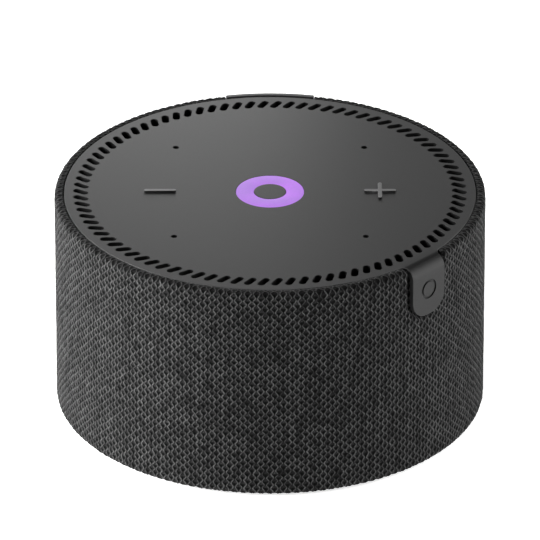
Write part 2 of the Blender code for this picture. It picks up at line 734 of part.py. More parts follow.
def make_speaker_lead(materials):
    """Sheathed pair from the board's connector, through the chamber floor, to the basket's tag."""
    start = Vector((*LEAD_HOLE, PART_BOTTOM + 2.2 + GAP))
    lift = Vector((*LEAD_HOLE, 18))
    swing = Vector((23.0, -13.2, 25))
    end = Vector((17.0, -9.8, 27.2))
    points = []
    for step in range(13):
        t = step / 12
        weights = ((1 - t) ** 3, 3 * t * (1 - t) ** 2, 3 * t * t * (1 - t), t ** 3)
        points.append(sum((w * p for w, p in zip(weights, (start, lift, swing, end))), Vector()))
    curve = bpy.data.curves.new("speaker_lead", "CURVE")
    curve.dimensions = "3D"
    curve.bevel_depth = 0.7 * MM
    curve.bevel_resolution = 2
    curve.use_fill_caps = True
    spline = curve.splines.new("POLY")
    spline.points.add(len(points) - 1)
    for target, point in zip(spline.points, points):
        target.co = (*(point * MM), 1)
    obj = bpy.data.objects.new("speaker_lead", curve)
    curve.materials.append(materials["rubber"])
    bpy.context.scene.collection.objects.link(obj)


# ---------------------------------------------------------------- top board and light


def make_top_board(materials):
    bm = extruded(circle(TOP_BOARD_RADIUS, 48), TOP_BOARD_BOTTOM, TOP_BOARD_TOP)
    board = finish_object("top_board", bm, materials["board"])
    holes = [
        cylinder(1.5, TOP_BOARD_BOTTOM - 1, TOP_BOARD_TOP + 1, at_azimuth(STAKE_RADIUS_AT, a), 12)
        for a in BRACKET_AZIMUTHS
    ]
    cut(board, merge(holes), "holes")


def top_part(name, material, size, place):
    centre = (place[0], place[1], TOP_PART_BOTTOM + size[2] / 2)
    return finish_object(name, box(size), material, centre, smooth=False)


def make_top_parts(materials):
    for index in range(4):
        x, y = at_azimuth(5.6, math.radians(45 + 90 * index))
        top_part(f"status_led_{index + 1}", materials["led"], (2.8, 2.8, 0.8), (x, y))
    for index, place in enumerate(mic_places()):
        top_part(f"microphone_{index + 1}", materials["shield"], (3.5, 2.7, 1.0), place)
    gasket_low = TOP_PART_BOTTOM + 1.0 + GAP
    ring = MIC_OFFSET * math.sqrt(2)
    profile = [
        (ring - 1.9, gasket_low),
        (ring + 1.9, gasket_low),
        (ring + 1.9, UNDER_PANEL),
        (ring - 1.9, UNDER_PANEL),
    ]
    gasket = finish_object("microphone_gasket", turned(profile, 36), materials["foam"])
    ports = [cylinder(0.7, gasket_low - 1, UNDER_PANEL + 1, place, 10) for place in mic_places()]
    cut(gasket, merge(ports), "ports")
    for side, label in ((-1, "minus"), (1, "plus")):
        bm = cylinder(3.2, TOP_PART_BOTTOM, UNDER_PANEL, (side * GLYPH_OFFSET, 0), 20)
        finish_object(f"touch_pad_{label}", bm, materials["pad"])
    seal_profile = [
        (9.9, TOP_PART_BOTTOM),
        (11.6, TOP_PART_BOTTOM),
        (11.6, UNDER_PANEL),
        (9.9, UNDER_PANEL),
    ]
    finish_object("light_seal", turned(seal_profile, 28), materials["foam"])


def make_light(materials):
    flange_low, flange_high = UNDER_PANEL - 0.9, UNDER_PANEL
    recess = CAP_RADIUS + GAP / 2
    recess_floor = HEIGHT - 1.2
    profile = [
        (0, flange_low),
        (9.5, flange_low),
        (9.5, flange_high),
        (LIGHT_RADIUS, flange_high),
        (LIGHT_RADIUS, HEIGHT),
        (recess, HEIGHT),
        (recess, recess_floor),
        (0, recess_floor),
    ]
    finish_object("light_lens", turned(profile, 48), materials["lens"])
    bm = cylinder(CAP_RADIUS, recess_floor + GAP, HEIGHT, (0, 0), 48)
    finish_object("centre_cap", bm, materials["cap"])


def make_vent_mesh(materials):
    low, high = UNDER_PANEL - 0.4, UNDER_PANEL
    profile = [(40.7, low), (45.3, low), (45.3, high), (40.7, high)]
    finish_object("vent_mesh", turned(profile, 48), materials["mesh"])


# ---------------------------------------------------------------- rear port board


def make_port_board(materials):
    middle_y = (PORT_BOARD_Y0 + PORT_BOARD_Y1) / 2
    size = (16, PORT_BOARD_Y1 - PORT_BOARD_Y0, 31)
    board = finish_object("port_board", box(size), materials["board"], (0, middle_y, 25.5), smooth=False)
    holes = [
        facing_rear(circle(1.4, 12), PORT_BOARD_Y0 - 1, PORT_BOARD_Y1 + 1, side * PORT_POST_X, PORT_POST_Z)
        for side in (-1, 1)
    ]
    cut(board, merge(holes), "holes")


def make_usb_c_port(materials):
    mouth = 47.5
    body = facing_rear(stadium(8.94, 3.26, 7), PORT_PART_Y, mouth, 0, PORT_Z)
    port = finish_object("usb_c_port", body, materials["steel"])
    cut(port, facing_rear(stadium(8.34, 2.66, 7), mouth - 6.2, mouth + 1, 0, PORT_Z), "cavity")
    tongue = box((6.69, 5.9, 0.7), (0, mouth - 6.5 + 5.9 / 2, PORT_Z))
    add(port, tongue, "tongue")


def make_mute_button(materials):
    switch_body = box((5.2, 2.0, 5.2), (0, PORT_PART_Y + 1.0, BUTTON_Z))
    switch = finish_object("mute_switch", switch_body, materials["chip"], smooth=False)
    cut(switch, facing_rear(circle(1.5, 16), PORT_PART_Y + 0.7, 44, 0, BUTTON_Z), "bore")
    plunger = facing_rear(circle(1.2, 16), -1.6, 0, 0, 0)
    finish_object("switch_plunger", plunger, materials["black"], (0, 43.2, BUTTON_Z))
    cap = facing_rear(stadium(8.4, 3.8, 7), -4.2, 0, 0, 0)
    button = finish_object("mute_button", cap, materials["plate"], (0, BODY_RADIUS - 0.1, BUTTON_Z))
    flange_y = SHELL_INNER - BODY_RADIUS - GAP - 0.2
    flange = facing_rear(stadium(10.4, 5.6, 7), flange_y - 1.0, flange_y, 0, 0)
    stem = facing_rear(circle(1.3, 12), 43.5 - BODY_RADIUS + 0.1, flange_y, 0, 0)
    for bm in (flange, stem):
        bmesh.ops.translate(bm, verts=bm.verts, vec=Vector((0, BODY_RADIUS - 0.1, BUTTON_Z)) * MM)
    add(button, flange, "flange")
    add(button, stem, "stem")


# ---------------------------------------------------------------- inner cables and antenna


def ribbon(name, material, profile, width, azimuth):
    """A flat cable: a bent strip whose (radius, z) outline is extruded sideways."""
    bm = extruded(profile, -width / 2, width / 2)
    stand = Matrix(((1, 0, 0), (0, 0, -1), (0, 1, 0)))
    bmesh.ops.transform(bm, verts=bm.verts, matrix=stand.to_4x4())
    bmesh.ops.rotate(bm, verts=bm.verts, matrix=Matrix.Rotation(azimuth, 3, "Z"))
    return finish_object(name, bm, material, smooth=False)


def strip_outline(route, thickness):
    """Outline of a strip of even thickness along a route of (radius, z) points."""
    left, right = [], []
    for index, point in enumerate(route):
        here = Vector(point)
        before = Vector(route[max(index - 1, 0)])
        after = Vector(route[min(index + 1, len(route) - 1)])
        along = (after - before).normalized()
        normal = Vector((-along.y, along.x)) * thickness / 2
        left.append(tuple(here + normal))
        right.append(tuple(here - normal))
    return left + right[::-1]


def make_cables(materials):
    low = PART_BOTTOM + 0.2
    high = TOP_BOARD_BOTTOM - GAP - 0.2
    route = [(27.0, low), (36.4, low), (37.6, low + 0.4), (38.0, low + 1.6)]
    route += [(38.0, high - 1.6), (37.6, high - 0.4), (36.4, high), (32.0, high)]
    ribbon("ribbon_cable", materials["film"], strip_outline(route, 0.3), 8, math.pi)
    inner = PORT_BOARD_Y0 - GAP - 0.2
    port_route = [(26.0, low), (inner - 1.6, low), (inner - 0.4, low + 0.4), (inner, low + 1.6), (inner, 17.0)]
    ribbon("port_ribbon", materials["film"], strip_outline(port_route, 0.3), 6, REAR_AZIMUTH)


def make_antenna(materials):
    body = box((0.6, 16, 6), (0, 0, 0))
    finish_object("radio_antenna", body, materials["board"], (44.1, 0, 31.3), smooth=False)


# ---------------------------------------------------------------- assembly


def main():
    for obj in list(bpy.data.objects):
        bpy.data.objects.remove(obj, do_unlink=True)
    materials = make_materials()
    make_foot_pad(materials)
    make_bottom_cover(materials)
    make_base_screws(materials)
    make_base_weight(materials)
    make_main_board(materials)
    make_board_parts(materials)
    make_chamber(materials)
    make_speaker_frame(materials)
    make_motor(materials)
    make_diaphragm(materials)
    make_speaker_lead(materials)
    make_port_board(materials)
    make_usb_c_port(materials)
    make_mute_button(materials)
    make_cables(materials)
    make_antenna(materials)
    make_top_board(materials)
    make_top_parts(materials)
    make_light(materials)
    make_vent_mesh(materials)
    make_inner_shell(materials)
    make_fabric_sleeve(materials)
    make_rear_plate(materials)
    make_top_panel(materials)


main()
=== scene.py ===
"""Looks of the round, fabric-covered smart home hub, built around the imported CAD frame.

Lengths in this file are millimetres and are turned into metres by MM when a mesh is made.
The frame has +Z up, the front towards -Y and the connector plate towards +Y.
"""

import math

import bpy
import numpy as np
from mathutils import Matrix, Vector
from mathutils.geometry import delaunay_2d_cdt


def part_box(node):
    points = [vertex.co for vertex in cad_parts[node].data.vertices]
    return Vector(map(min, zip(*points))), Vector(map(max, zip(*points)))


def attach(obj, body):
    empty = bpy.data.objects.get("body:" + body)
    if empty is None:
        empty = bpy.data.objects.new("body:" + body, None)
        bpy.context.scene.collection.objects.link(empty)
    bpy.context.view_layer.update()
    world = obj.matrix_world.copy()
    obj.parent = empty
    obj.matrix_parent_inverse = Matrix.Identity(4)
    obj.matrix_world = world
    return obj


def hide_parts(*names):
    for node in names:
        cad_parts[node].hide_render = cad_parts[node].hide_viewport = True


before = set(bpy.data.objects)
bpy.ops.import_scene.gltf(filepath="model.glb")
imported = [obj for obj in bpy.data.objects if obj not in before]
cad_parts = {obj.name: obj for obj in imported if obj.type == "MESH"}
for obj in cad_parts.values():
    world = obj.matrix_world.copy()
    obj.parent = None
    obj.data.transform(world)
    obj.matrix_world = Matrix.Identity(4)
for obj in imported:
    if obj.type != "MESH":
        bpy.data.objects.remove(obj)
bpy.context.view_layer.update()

MM = 0.001
rng = np.random.default_rng(11)

# ---------------------------------------------------------------- sizes read from the frame


def reach(node):
    """The largest distance of a CAD node's points from the hub's axis."""
    return max(math.hypot(v.co.x, v.co.y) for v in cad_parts[node].data.vertices) / MM


def span(node):
    """Lowest and highest z of a CAD node."""
    low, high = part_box(node)
    return low.z / MM, high.z / MM


BODY_RADIUS = reach("fabric_sleeve")
FABRIC_LOW, FABRIC_HIGH = span("fabric_sleeve")
# The rear plate ends level with the touch panel, whose own highest points are the raised marks.
PANEL_TOP = span("rear_plate")[1]
TAB_LOW, MARK_TOP = span("top_panel")
CAP_RADIUS = reach("centre_cap")

# ---------------------------------------------------------------- mesh helpers


def make_object(name, points, faces, material=None, normals=None, sharp=None):
    """A mesh object from points in millimetres. normals holds one normal for each face corner."""
    mesh = bpy.data.meshes.new(name)
    mesh.from_pydata((np.asarray(points, float) * MM).tolist(), [], faces)
    mesh.polygons.foreach_set("use_smooth", [True] * len(mesh.polygons))
    if sharp is not None:
        mesh.set_sharp_from_angle(angle=math.radians(sharp))
    if normals is not None:
        mesh.normals_split_custom_set(normals)
    mesh.update()
    obj = bpy.data.objects.new(name, mesh)
    bpy.context.scene.collection.objects.link(obj)
    if material:
        mesh.materials.append(material)
    return obj


def turned(name, profile, segments, sharp=25):
    """A closed solid of revolution; profile is (radius, z) and may touch the axis at both ends."""
    points, rings = [], []
    for radius, z in profile:
        if radius < 1e-6:
            rings.append([len(points)] * segments)
            points.append((0, 0, z))
            continue
        rings.append(list(range(len(points), len(points) + segments)))
        for k in range(segments):
            angle = 2 * math.pi * k / segments
            points.append((radius * math.cos(angle), radius * math.sin(angle), z))
    faces = []
    pairs = list(zip(rings, rings[1:] + rings[:1]))
    for low, high in pairs:
        if low[0] == low[1] and high[0] == high[1]:
            continue
        for k in range(segments):
            n = (k + 1) % segments
            corner = [low[k], low[n], high[n], high[k]]
            faces.append(list(dict.fromkeys(corner)))
    return make_object(name, points, faces, sharp=sharp)


def rounded(profile, radius, steps=3):
    """The profile with each convex corner that has a radius replaced by a short arc."""
    out = []
    count = len(profile)
    for i, (point, size) in enumerate(zip(profile, radius)):
        if not size:
            out.append(point)
            continue
        p = Vector(point)
        a = (Vector(profile[i - 1]) - p).normalized()
        b = (Vector(profile[(i + 1) % count]) - p).normalized()
        start, end = p + a * size, p + b * size
        for k in range(steps + 1):
            t = k / steps
            out.append(tuple(start * (1 - t) ** 2 + p * 2 * t * (1 - t) + end * t ** 2))
    return out


def smoothstep(t):
    t = np.clip(t, 0.0, 1.0)
    return t * t * (3 - 2 * t)


# ---------------------------------------------------------------- materials


class Finish:
    """A Principled material, and short ways to hang procedural patterns on it."""

    def __init__(self, name, **sockets):
        self.material = bpy.data.materials.new(name)
        self.material.use_nodes = True
        self.tree = self.material.node_tree
        self.shader = self.tree.nodes["Principled BSDF"]
        for key, value in sockets.items():
            self.shader.inputs[key.replace("_", " ")].default_value = value
        self.place = self.node("ShaderNodeTexCoord").outputs["Object"]

    def node(self, kind, **values):
        node = self.tree.nodes.new(kind)
        for key, value in values.items():
            setattr(node, key, value)
        return node

    def link(self, source, target):
        self.tree.links.new(source, target)

    def noise(self, size, detail=2.0, stretch=(1, 1, 1), roughness=0.5):
        """Noise whose features are about size millimetres."""
        node = self.node("ShaderNodeTexNoise")
        node.inputs["Scale"].default_value = 1 / (size * MM)
        node.inputs["Detail"].default_value = detail
        node.inputs["Roughness"].default_value = roughness
        self.link(self.scaled(stretch), node.inputs["Vector"])
        return node.outputs["Fac"]

    def scaled(self, stretch):
        if tuple(stretch) == (1, 1, 1):
            return self.place
        node = self.node("ShaderNodeMapping")
        node.inputs["Scale"].default_value = stretch
        self.link(self.place, node.inputs["Vector"])
        return node.outputs["Vector"]

    def cells(self, size):
        """Distance from the middle of round cells about size millimetres apart."""
        node = self.node("ShaderNodeTexVoronoi")
        node.inputs["Scale"].default_value = 1 / (size * MM)
        self.link(self.place, node.inputs["Vector"])
        return node.outputs["Distance"]

    def bands(self, size, direction="Z", kind="BANDS", bend=0.0):
        """Straight bands or rings, size millimetres apart."""
        node = self.node("ShaderNodeTexWave", wave_type=kind)
        if kind == "BANDS":
            node.bands_direction = direction
        else:
            node.rings_direction = direction
        node.inputs["Scale"].default_value = math.pi / (10 * size * MM)
        node.inputs["Distortion"].default_value = bend
        self.link(self.place, node.inputs["Vector"])
        return node.outputs["Fac"]

    def attribute(self, name):
        return self.node("ShaderNodeAttribute", attribute_name=name).outputs["Fac"]

    def range(self, source, low, high, start=0.0, end=1.0):
        node = self.node("ShaderNodeMapRange")
        node.inputs["From Min"].default_value = start
        node.inputs["From Max"].default_value = end
        node.inputs["To Min"].default_value = low
        node.inputs["To Max"].default_value = high
        self.link(source, node.inputs["Value"])
        return node.outputs["Result"]

    def maths(self, operation, a, b):
        node = self.node("ShaderNodeMath", operation=operation)
        for index, value in enumerate((a, b)):
            if isinstance(value, (int, float)):
                node.inputs[index].default_value = value
            else:
                self.link(value, node.inputs[index])
        return node.outputs[0]

    def blend(self, a, b, share):
        """The sum of share of a and the rest of b."""
        return self.maths("ADD", self.maths("MULTIPLY", a, share), self.maths("MULTIPLY", b, 1 - share))

    def ramp(self, source, *stops):
        """A colour ramp; each stop is (place, colour)."""
        node = self.node("ShaderNodeValToRGB")
        elements = node.color_ramp.elements
        while len(elements) < len(stops):
            elements.new(1.0)
        for element, (place, colour) in zip(elements, stops):
            element.position = place
            element.color = (*colour, 1.0)
        self.link(source, node.inputs["Fac"])
        return node.outputs["Color"]

    def mix(self, factor, a, b, blend="MIX"):
        node = self.node("ShaderNodeMix", data_type="RGBA", blend_type=blend)
        sockets = (node.inputs["Factor"], node.inputs[6], node.inputs[7])
        for socket, value in zip(sockets, (factor, a, b)):
            if isinstance(value, (int, float)):
                socket.default_value = value
            elif isinstance(value, tuple):
                socket.default_value = (*value, 1.0)
            else:
                self.link(value, socket)
        return node.outputs[2]

    def colour(self, source):
        self.link(source, self.shader.inputs["Base Color"])

    def rough(self, source, low, high):
        self.link(self.range(source, low, high, 0.3, 0.7), self.shader.inputs["Roughness"])

    def bump(self, source, depth):
        """Raises the surface by up to depth millimetres where source is 1."""
        node = self.node("ShaderNodeBump")
        node.inputs["Strength"].default_value = 1.0
        node.inputs["Distance"].default_value = depth * MM
        self.link(source, node.inputs["Height"])
        if self.shader.inputs["Normal"].links:
            self.link(self.shader.inputs["Normal"].links[0].from_socket, node.inputs["Normal"])
        self.link(node.outputs["Normal"], self.shader.inputs["Normal"])


def grey(value):
    return (value, value, value)


def tone(colour, share):
    return tuple(c * share for c in colour)


def speckled(name, colour, spread, roughness, grain, depth, **sockets):
    """A moulded or cast finish: faint tonal drift, uneven gloss and a fine grain."""
    finish = Finish(name, **sockets)
    drift = finish.noise(14, 3)
    fine = finish.noise(grain, 2)
    both = finish.blend(drift, fine, 0.6)
    finish.colour(finish.ramp(both, (0.3, tone(colour, 1 - spread)), (0.7, tone(colour, 1 + spread))))
    finish.rough(fine, roughness - 0.05, roughness + 0.05)
    finish.bump(fine, depth)
    return finish


def fabric_finish():
    """Melange yarn: paler crests, painted shade on the yarns' flanks and near-black painted shade in the
    gaps between the yarns, fibres along the yarn.
    """
    finish = Finish("woven_fabric", Sheen_Weight=0.11, Sheen_Roughness=0.45, Specular_IOR_Level=0.08)
    fibre = finish.noise(0.16, 3, (1, 1, 0.45), 0.6)
    melange = finish.noise(0.28, 2, (1, 1, 0.6))
    broad = finish.noise(9, 2)
    # The "yarn" layer is painted shade: 0 deep in the cells between the yarns, 1 on the crests.
    crest = finish.ramp(finish.attribute("yarn"), (0.15, grey(0.0)), (0.5, grey(0.25)), (1.0, grey(1.0)))
    yarn = finish.ramp(melange, (0.32, grey(0.018)), (0.68, grey(0.105)))
    # The gap colour, near black, is painted shade between the yarns.
    gap = finish.ramp(fibre, (0.3, grey(0.0006)), (0.7, grey(0.003)))
    both = finish.mix(crest, gap, yarn)
    tint = finish.ramp(broad, (0.3, grey(0.9)), (0.7, grey(1.0)))
    finish.colour(finish.mix(1.0, both, tint, "MULTIPLY"))
    finish.rough(fibre, 0.78, 0.96)
    finish.bump(fibre, 0.08)
    return finish.material


def panel_finish():
    """Satin plastic; the "mark" layer is -1 inside the holes, 0 on the panel, 1 on raised marks. Below 0 it
    paints near-black shade on walls and sunk floors, above 0 a painted highlight on the rim's edge and the
    marks' tops.
    """
    satin, matt_tab = 0.36, 0.60
    finish = speckled("panel_plastic", grey(0.015), 0.04, satin, 0.12, 0.0012, Specular_IOR_Level=0.4)
    mark = finish.range(finish.attribute("mark"), 0.0, 1.0, -1.0, 1.0)
    # Near black below 0 is painted shade; paler above 0 is a painted highlight.
    share = finish.ramp(mark, (0.02, grey(0.01)), (0.5, grey(0.10)), (0.98, grey(1.0)))
    plain = finish.ramp(finish.noise(14, 3), (0.3, grey(0.147)), (0.7, grey(0.153)))
    # The hanging tab, below the face, is more matt, and its colour is darkened to 0.3 as painted shade.
    level = finish.node("ShaderNodeSeparateXYZ")
    finish.link(finish.place, level.inputs["Vector"])
    face = ((PANEL_TOP - 0.5) * MM, PANEL_TOP * MM)
    pale = finish.range(level.outputs["Z"], 0.3, 1.0, *face)
    finish.colour(finish.mix(1.0, plain, finish.mix(1.0, share, pale, "MULTIPLY"), "MULTIPLY"))
    gloss = finish.range(level.outputs["Z"], matt_tab, satin, *face)
    uneven = finish.range(finish.noise(0.12, 2), -0.05, 0.05, 0.3, 0.7)
    finish.link(finish.maths("ADD", gloss, uneven), finish.shader.inputs["Roughness"])
    return finish.material


def lens_finish():
    """Milky violet light guide that drifts between two violets, with faint diffuser grain."""
    finish = Finish("light_lens", Roughness=0.45, Emission_Strength=1.0, Specular_IOR_Level=0.25)
    broad = finish.noise(6, 1)
    fine = finish.noise(0.35, 2)
    both = finish.blend(broad, fine, 0.75)
    glow = finish.ramp(both, (0.35, (0.40, 0.190, 0.70)), (0.65, (0.50, 0.185, 0.83)))
    finish.link(glow, finish.shader.inputs["Emission Color"])
    finish.colour(finish.ramp(fine, (0.3, grey(0.020)), (0.7, grey(0.032))))
    finish.bump(fine, 0.002)
    return finish.material


def board_finish():
    """Solder mask with buried copper tracks and a few vias."""
    finish = Finish("circuit_board", Coat_Weight=0.3, Coat_Roughness=0.2)
    tracks = finish.bands(1.3, "DIAGONAL", bend=6.0)
    vias = finish.cells(2.6)
    mask = finish.ramp(tracks, (0.42, (0.006, 0.060, 0.030)), (0.58, (0.012, 0.105, 0.052)))
    spots = finish.ramp(vias, (0.07, (0.50, 0.40, 0.18)), (0.09, (0.0, 0.0, 0.0)))
    finish.colour(finish.mix(1.0, mask, spots, "ADD"))
    finish.rough(tracks, 0.38, 0.5)
    finish.bump(tracks, 0.03)
    return finish.material


def metal_finish(name, colour, roughness, direction=(1, 1, 0.08), grain=0.25):
    """Metal with fine rolling lines and slightly clouded gloss."""
    finish = Finish(name, Metallic=1.0)
    lines = finish.noise(grain, 3, direction)
    cloud = finish.noise(5, 3)
    finish.colour(finish.ramp(cloud, (0.3, tone(colour, 0.85)), (0.7, tone(colour, 1.08))))
    finish.rough(lines, roughness - 0.07, roughness + 0.08)
    finish.bump(lines, 0.004)
    return finish.material


def winding_finish():
    finish = Finish("copper_wire", Metallic=1.0)
    turns = finish.bands(0.22, "Z")
    finish.colour(finish.ramp(turns, (0.2, (0.30, 0.10, 0.035)), (0.8, (0.78, 0.34, 0.15))))
    finish.rough(turns, 0.25, 0.4)
    finish.bump(turns, 0.08)
    return finish.material


def paper_finish():
    """Pressed pulp cone: short fibres and rings from the mould."""
    finish = Finish("cone_paper", Specular_IOR_Level=0.2)
    fibre = finish.noise(0.5, 5, (1, 1, 1), 0.7)
    rings = finish.bands(1.5, "Z", kind="RINGS")
    finish.colour(finish.ramp(fibre, (0.3, grey(0.016)), (0.72, grey(0.042))))
    finish.rough(fibre, 0.8, 0.95)
    finish.bump(fibre, 0.12)
    finish.bump(rings, 0.05)
    return finish.material


def cloth_finish(name, dark, light):
    """Fine plain weave, stiffened with resin."""
    finish = Finish(name, Specular_IOR_Level=0.3)
    warp = finish.bands(0.35, "X")
    weft = finish.bands(0.35, "Y")
    weave = finish.maths("MULTIPLY", warp, weft)
    finish.colour(finish.ramp(weave, (0.1, dark), (0.8, light)))
    finish.rough(weave, 0.75, 0.9)
    finish.bump(weave, 0.08)
    return finish.material


def foam_finish(name, colour):
    finish = Finish(name, Specular_IOR_Level=0.15)
    pores = finish.cells(0.45)
    finish.colour(finish.ramp(pores, (0.1, tone(colour, 0.35)), (0.55, tone(colour, 1.3))))
    finish.rough(pores, 0.95, 0.85)
    finish.bump(pores, 0.2)
    return finish.material


def film_finish():
    """Flat cable: copper tracks seen through tinted film."""
    finish = Finish("ribbon_film", Coat_Weight=0.4, Coat_Roughness=0.15)
    tracks = finish.bands(0.5, "X")
    finish.colour(finish.ramp(tracks, (0.45, (0.30, 0.11, 0.02)), (0.55, (0.52, 0.24, 0.06))))
    finish.rough(tracks, 0.35, 0.5)
    finish.bump(tracks, 0.03)
    return finish.material


def plain_finish(name, *looks, **sockets):
    return speckled(name, *looks, **sockets).material


PANEL_GLOSS = {"Specular_IOR_Level": 0.4}

FINISHES = {
    "woven_fabric": fabric_finish(),
    "panel_plastic": panel_finish(),
    "plate_plastic": plain_finish("plate_plastic", grey(0.022), 0.04, 0.38, 0.14, 0.002, **PANEL_GLOSS),
    "black_plastic": plain_finish("black_plastic", grey(0.018), 0.10, 0.50, 0.25, 0.008),
    "black_rubber": plain_finish("black_rubber", grey(0.021), 0.12, 0.82, 0.30, 0.02),
    "circuit_board": board_finish(),
    "chip_package": plain_finish("chip_package", grey(0.016), 0.15, 0.55, 0.12, 0.006),
    "plated_steel": metal_finish("plated_steel", (0.56, 0.57, 0.58), 0.32),
    "tinned_shield": metal_finish("tinned_shield", (0.66, 0.66, 0.63), 0.38, (1, 0.08, 1), 0.4),
    "ferrite": plain_finish("ferrite", grey(0.045), 0.20, 0.6, 0.35, 0.015),
    "copper_wire": winding_finish(),
    "cone_paper": paper_finish(),
    "spider_cloth": cloth_finish("spider_cloth", (0.16, 0.09, 0.03), (0.42, 0.28, 0.12)),
    "black_foam": foam_finish("black_foam", grey(0.02)),
    "conductive_foam": foam_finish("conductive_foam", grey(0.09)),
    "ribbon_film": film_finish(),
    "acoustic_mesh": cloth_finish("acoustic_mesh", grey(0.0015), grey(0.004)),
    "light_lens": lens_finish(),
    "dark_cap": plain_finish("dark_cap", grey(0.016), 0.04, 0.36, 0.12, 0.001, **PANEL_GLOSS),
    "led_package": plain_finish("led_package", (0.75, 0.74, 0.68), 0.05, 0.4, 0.3, 0.004),
}

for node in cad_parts.values():
    for place in node.material_slots:
        # A repeated material name ends in a dot and a number.
        kind = place.material.name.split(".")[0] if place.material else None
        if kind in FINISHES:
            place.material = FINISHES[kind]


def dress(obj, body, slot, *nodes):
    """Puts a new piece on its body, with the finish of its slot, in place of CAD nodes."""
    obj.data.materials.append(FINISHES[slot])
    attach(obj, body)
    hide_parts(*nodes)
    return obj


# ---------------------------------------------------------------- side wall section

TOP_ROLL = 0.9
LOW_ROLL = 0.8
LIP_RADIUS = 46.98
LIP_ROLL = 0.08
LOW_BEVEL = 0.15


def arc(centre, radius, start, end, steps):
    angles = np.radians(np.linspace(start, end, steps))
    return [(centre[0] + radius * math.cos(a), centre[1] + radius * math.sin(a)) for a in angles]


def wall_path(radius, tuck, top=FABRIC_HIGH, roll=TOP_ROLL, lip=LIP_RADIUS):
    """Section of the side wall from the lower lip up to the upper one, as (radius, z) points."""
    path = [(LIP_RADIUS, FABRIC_LOW + tuck), (LIP_RADIUS + LOW_BEVEL, FABRIC_LOW)]
    path += arc((radius - LOW_ROLL, FABRIC_LOW + LOW_ROLL), LOW_ROLL, -90, 0, 9)
    path += arc((radius - roll, top - roll), roll, 0, 90, 11)
    path += arc((lip + LIP_ROLL, top - LIP_ROLL), LIP_ROLL, 90, 180, 5)
    path += [(lip, top - tuck)]
    return np.array(path)


class Section:
    """A section read by its own length: places and outward normals at any distance along it."""

    def __init__(self, path):
        self.path = path
        steps = np.hypot(*np.diff(path, axis=0).T)
        self.at = np.concatenate([[0], np.cumsum(steps)])
        self.length = self.at[-1]

    def place(self, s):
        return np.interp(s, self.at, self.path[:, 0]), np.interp(s, self.at, self.path[:, 1])

    def normal(self, s, reach=0.12):
        r0, z0 = self.place(np.clip(s - reach, 0, self.length))
        r1, z1 = self.place(np.clip(s + reach, 0, self.length))
        size = np.maximum(np.hypot(r1 - r0, z1 - z0), 1e-9)
        return (z1 - z0) / size, -(r1 - r0) / size


# ---------------------------------------------------------------- tab section

TAB_AZIMUTH = math.radians(-44)
TAB_START = 46.6
TAB_OUTER = BODY_RADIUS + 0.6
TAB_BEND_HEIGHT = 3.0
TAB_POWER = 2.1
TAB_HALF = 5.15
TAB_CORNER = 4.6
TAB_FILLET = 1.5
TAB_THICKNESS = 1.1
TAB_WAY = (math.cos(TAB_AZIMUTH), math.sin(TAB_AZIMUTH))
PANEL_THICKNESS = 1.8
PANEL_RADIUS = 46.83
# Where the panel bends down and gets thinner, from the tab's middle line and from the axis.
BEND_HALF, BEND_FADE = 7.0, 3.0
THIN_START, THIN_HALF, THIN_FADE = 44.6, 7.5, 2.5


def tab_path():
    """Outer surface of the tab from the flat panel, over the bend and straight down."""
    width = TAB_OUTER - TAB_START
    base = PANEL_TOP - TAB_BEND_HEIGHT
    turn = np.linspace(0, math.pi / 2, 60)
    across = np.sin(turn) ** (2 / TAB_POWER) * width
    up = np.cos(turn) ** (2 / TAB_POWER) * TAB_BEND_HEIGHT
    bend = np.stack([TAB_START + across, base + up], axis=1)
    return np.concatenate([bend, [(TAB_OUTER, TAB_LOW - 5)]])


tab_section = Section(tab_path())
TAB_END = TAB_START + float(np.interp(-TAB_LOW, -tab_section.path[:, 1], tab_section.at))


def along_tab(plan):
    """Plan points as distances along the tab's azimuth, and across it."""
    ca, sa = TAB_WAY
    return plan[:, 0] * ca + plan[:, 1] * sa, -plan[:, 0] * sa + plan[:, 1] * ca


def bend_panel(plan, depth):
    """Maps plan points (x, y) of the unrolled panel, sunk by depth, to 3-D, with their normals.

    Returns places, surface normals and the local directions of the plan's two axes.
    """
    ca, sa = TAB_WAY
    a, t = along_tab(plan)
    share = (1 - smoothstep((np.abs(t) - BEND_HALF) / BEND_FADE)) * (a > TAB_START)
    s = np.maximum(a - TAB_START, 0)
    r, z = tab_section.place(s)
    nr, nz = tab_section.normal(s, 0.05)
    nr, nz = -nr, -nz
    r = a + (r - a) * share
    z = PANEL_TOP + (z - PANEL_TOP) * share
    nr = nr * share
    nz = 1 + (nz - 1) * share
    size = np.hypot(nr, nz)
    nr, nz = nr / size, nz / size
    normal = np.stack([nr * ca, nr * sa, nz], axis=1)
    along = np.stack([nz * ca, nz * sa, -nr], axis=1)
    across = np.stack([-sa + 0 * nr, ca + 0 * nr, 0 * nr], axis=1)
    place = np.stack([r * ca - t * sa, r * sa + t * ca, z], axis=1)
    place -= normal * np.asarray(depth).reshape(-1, 1)
    # Plan axes x and y in terms of the tab's own two directions.
    x_axis = along * ca - across * sa
    y_axis = along * sa + across * ca
    return place, normal, x_axis, y_axis


def wall_map(section, azimuth, radius):
    """A mapping like bend_panel, for a plan whose x is arc length and y is section length."""

    def bend(plan, depth):
        angle = azimuth + plan[:, 0] / radius
        r, z = section.place(plan[:, 1])
        nr, nz = section.normal(plan[:, 1])
        ca, sa = np.cos(angle), np.sin(angle)
        normal = np.stack([nr * ca, nr * sa, nz], axis=1)
        # Looking at the wall from outside, plan x runs to the right and plan y runs up.
        x_axis = np.stack([-sa, ca, 0 * sa], axis=1)
        y_axis = np.stack([-nz * ca, -nz * sa, nr], axis=1)
        place = np.stack([r * ca, r * sa, z], axis=1) - normal * np.asarray(depth).reshape(-1, 1)
        return place, normal, x_axis, y_axis

    return bend


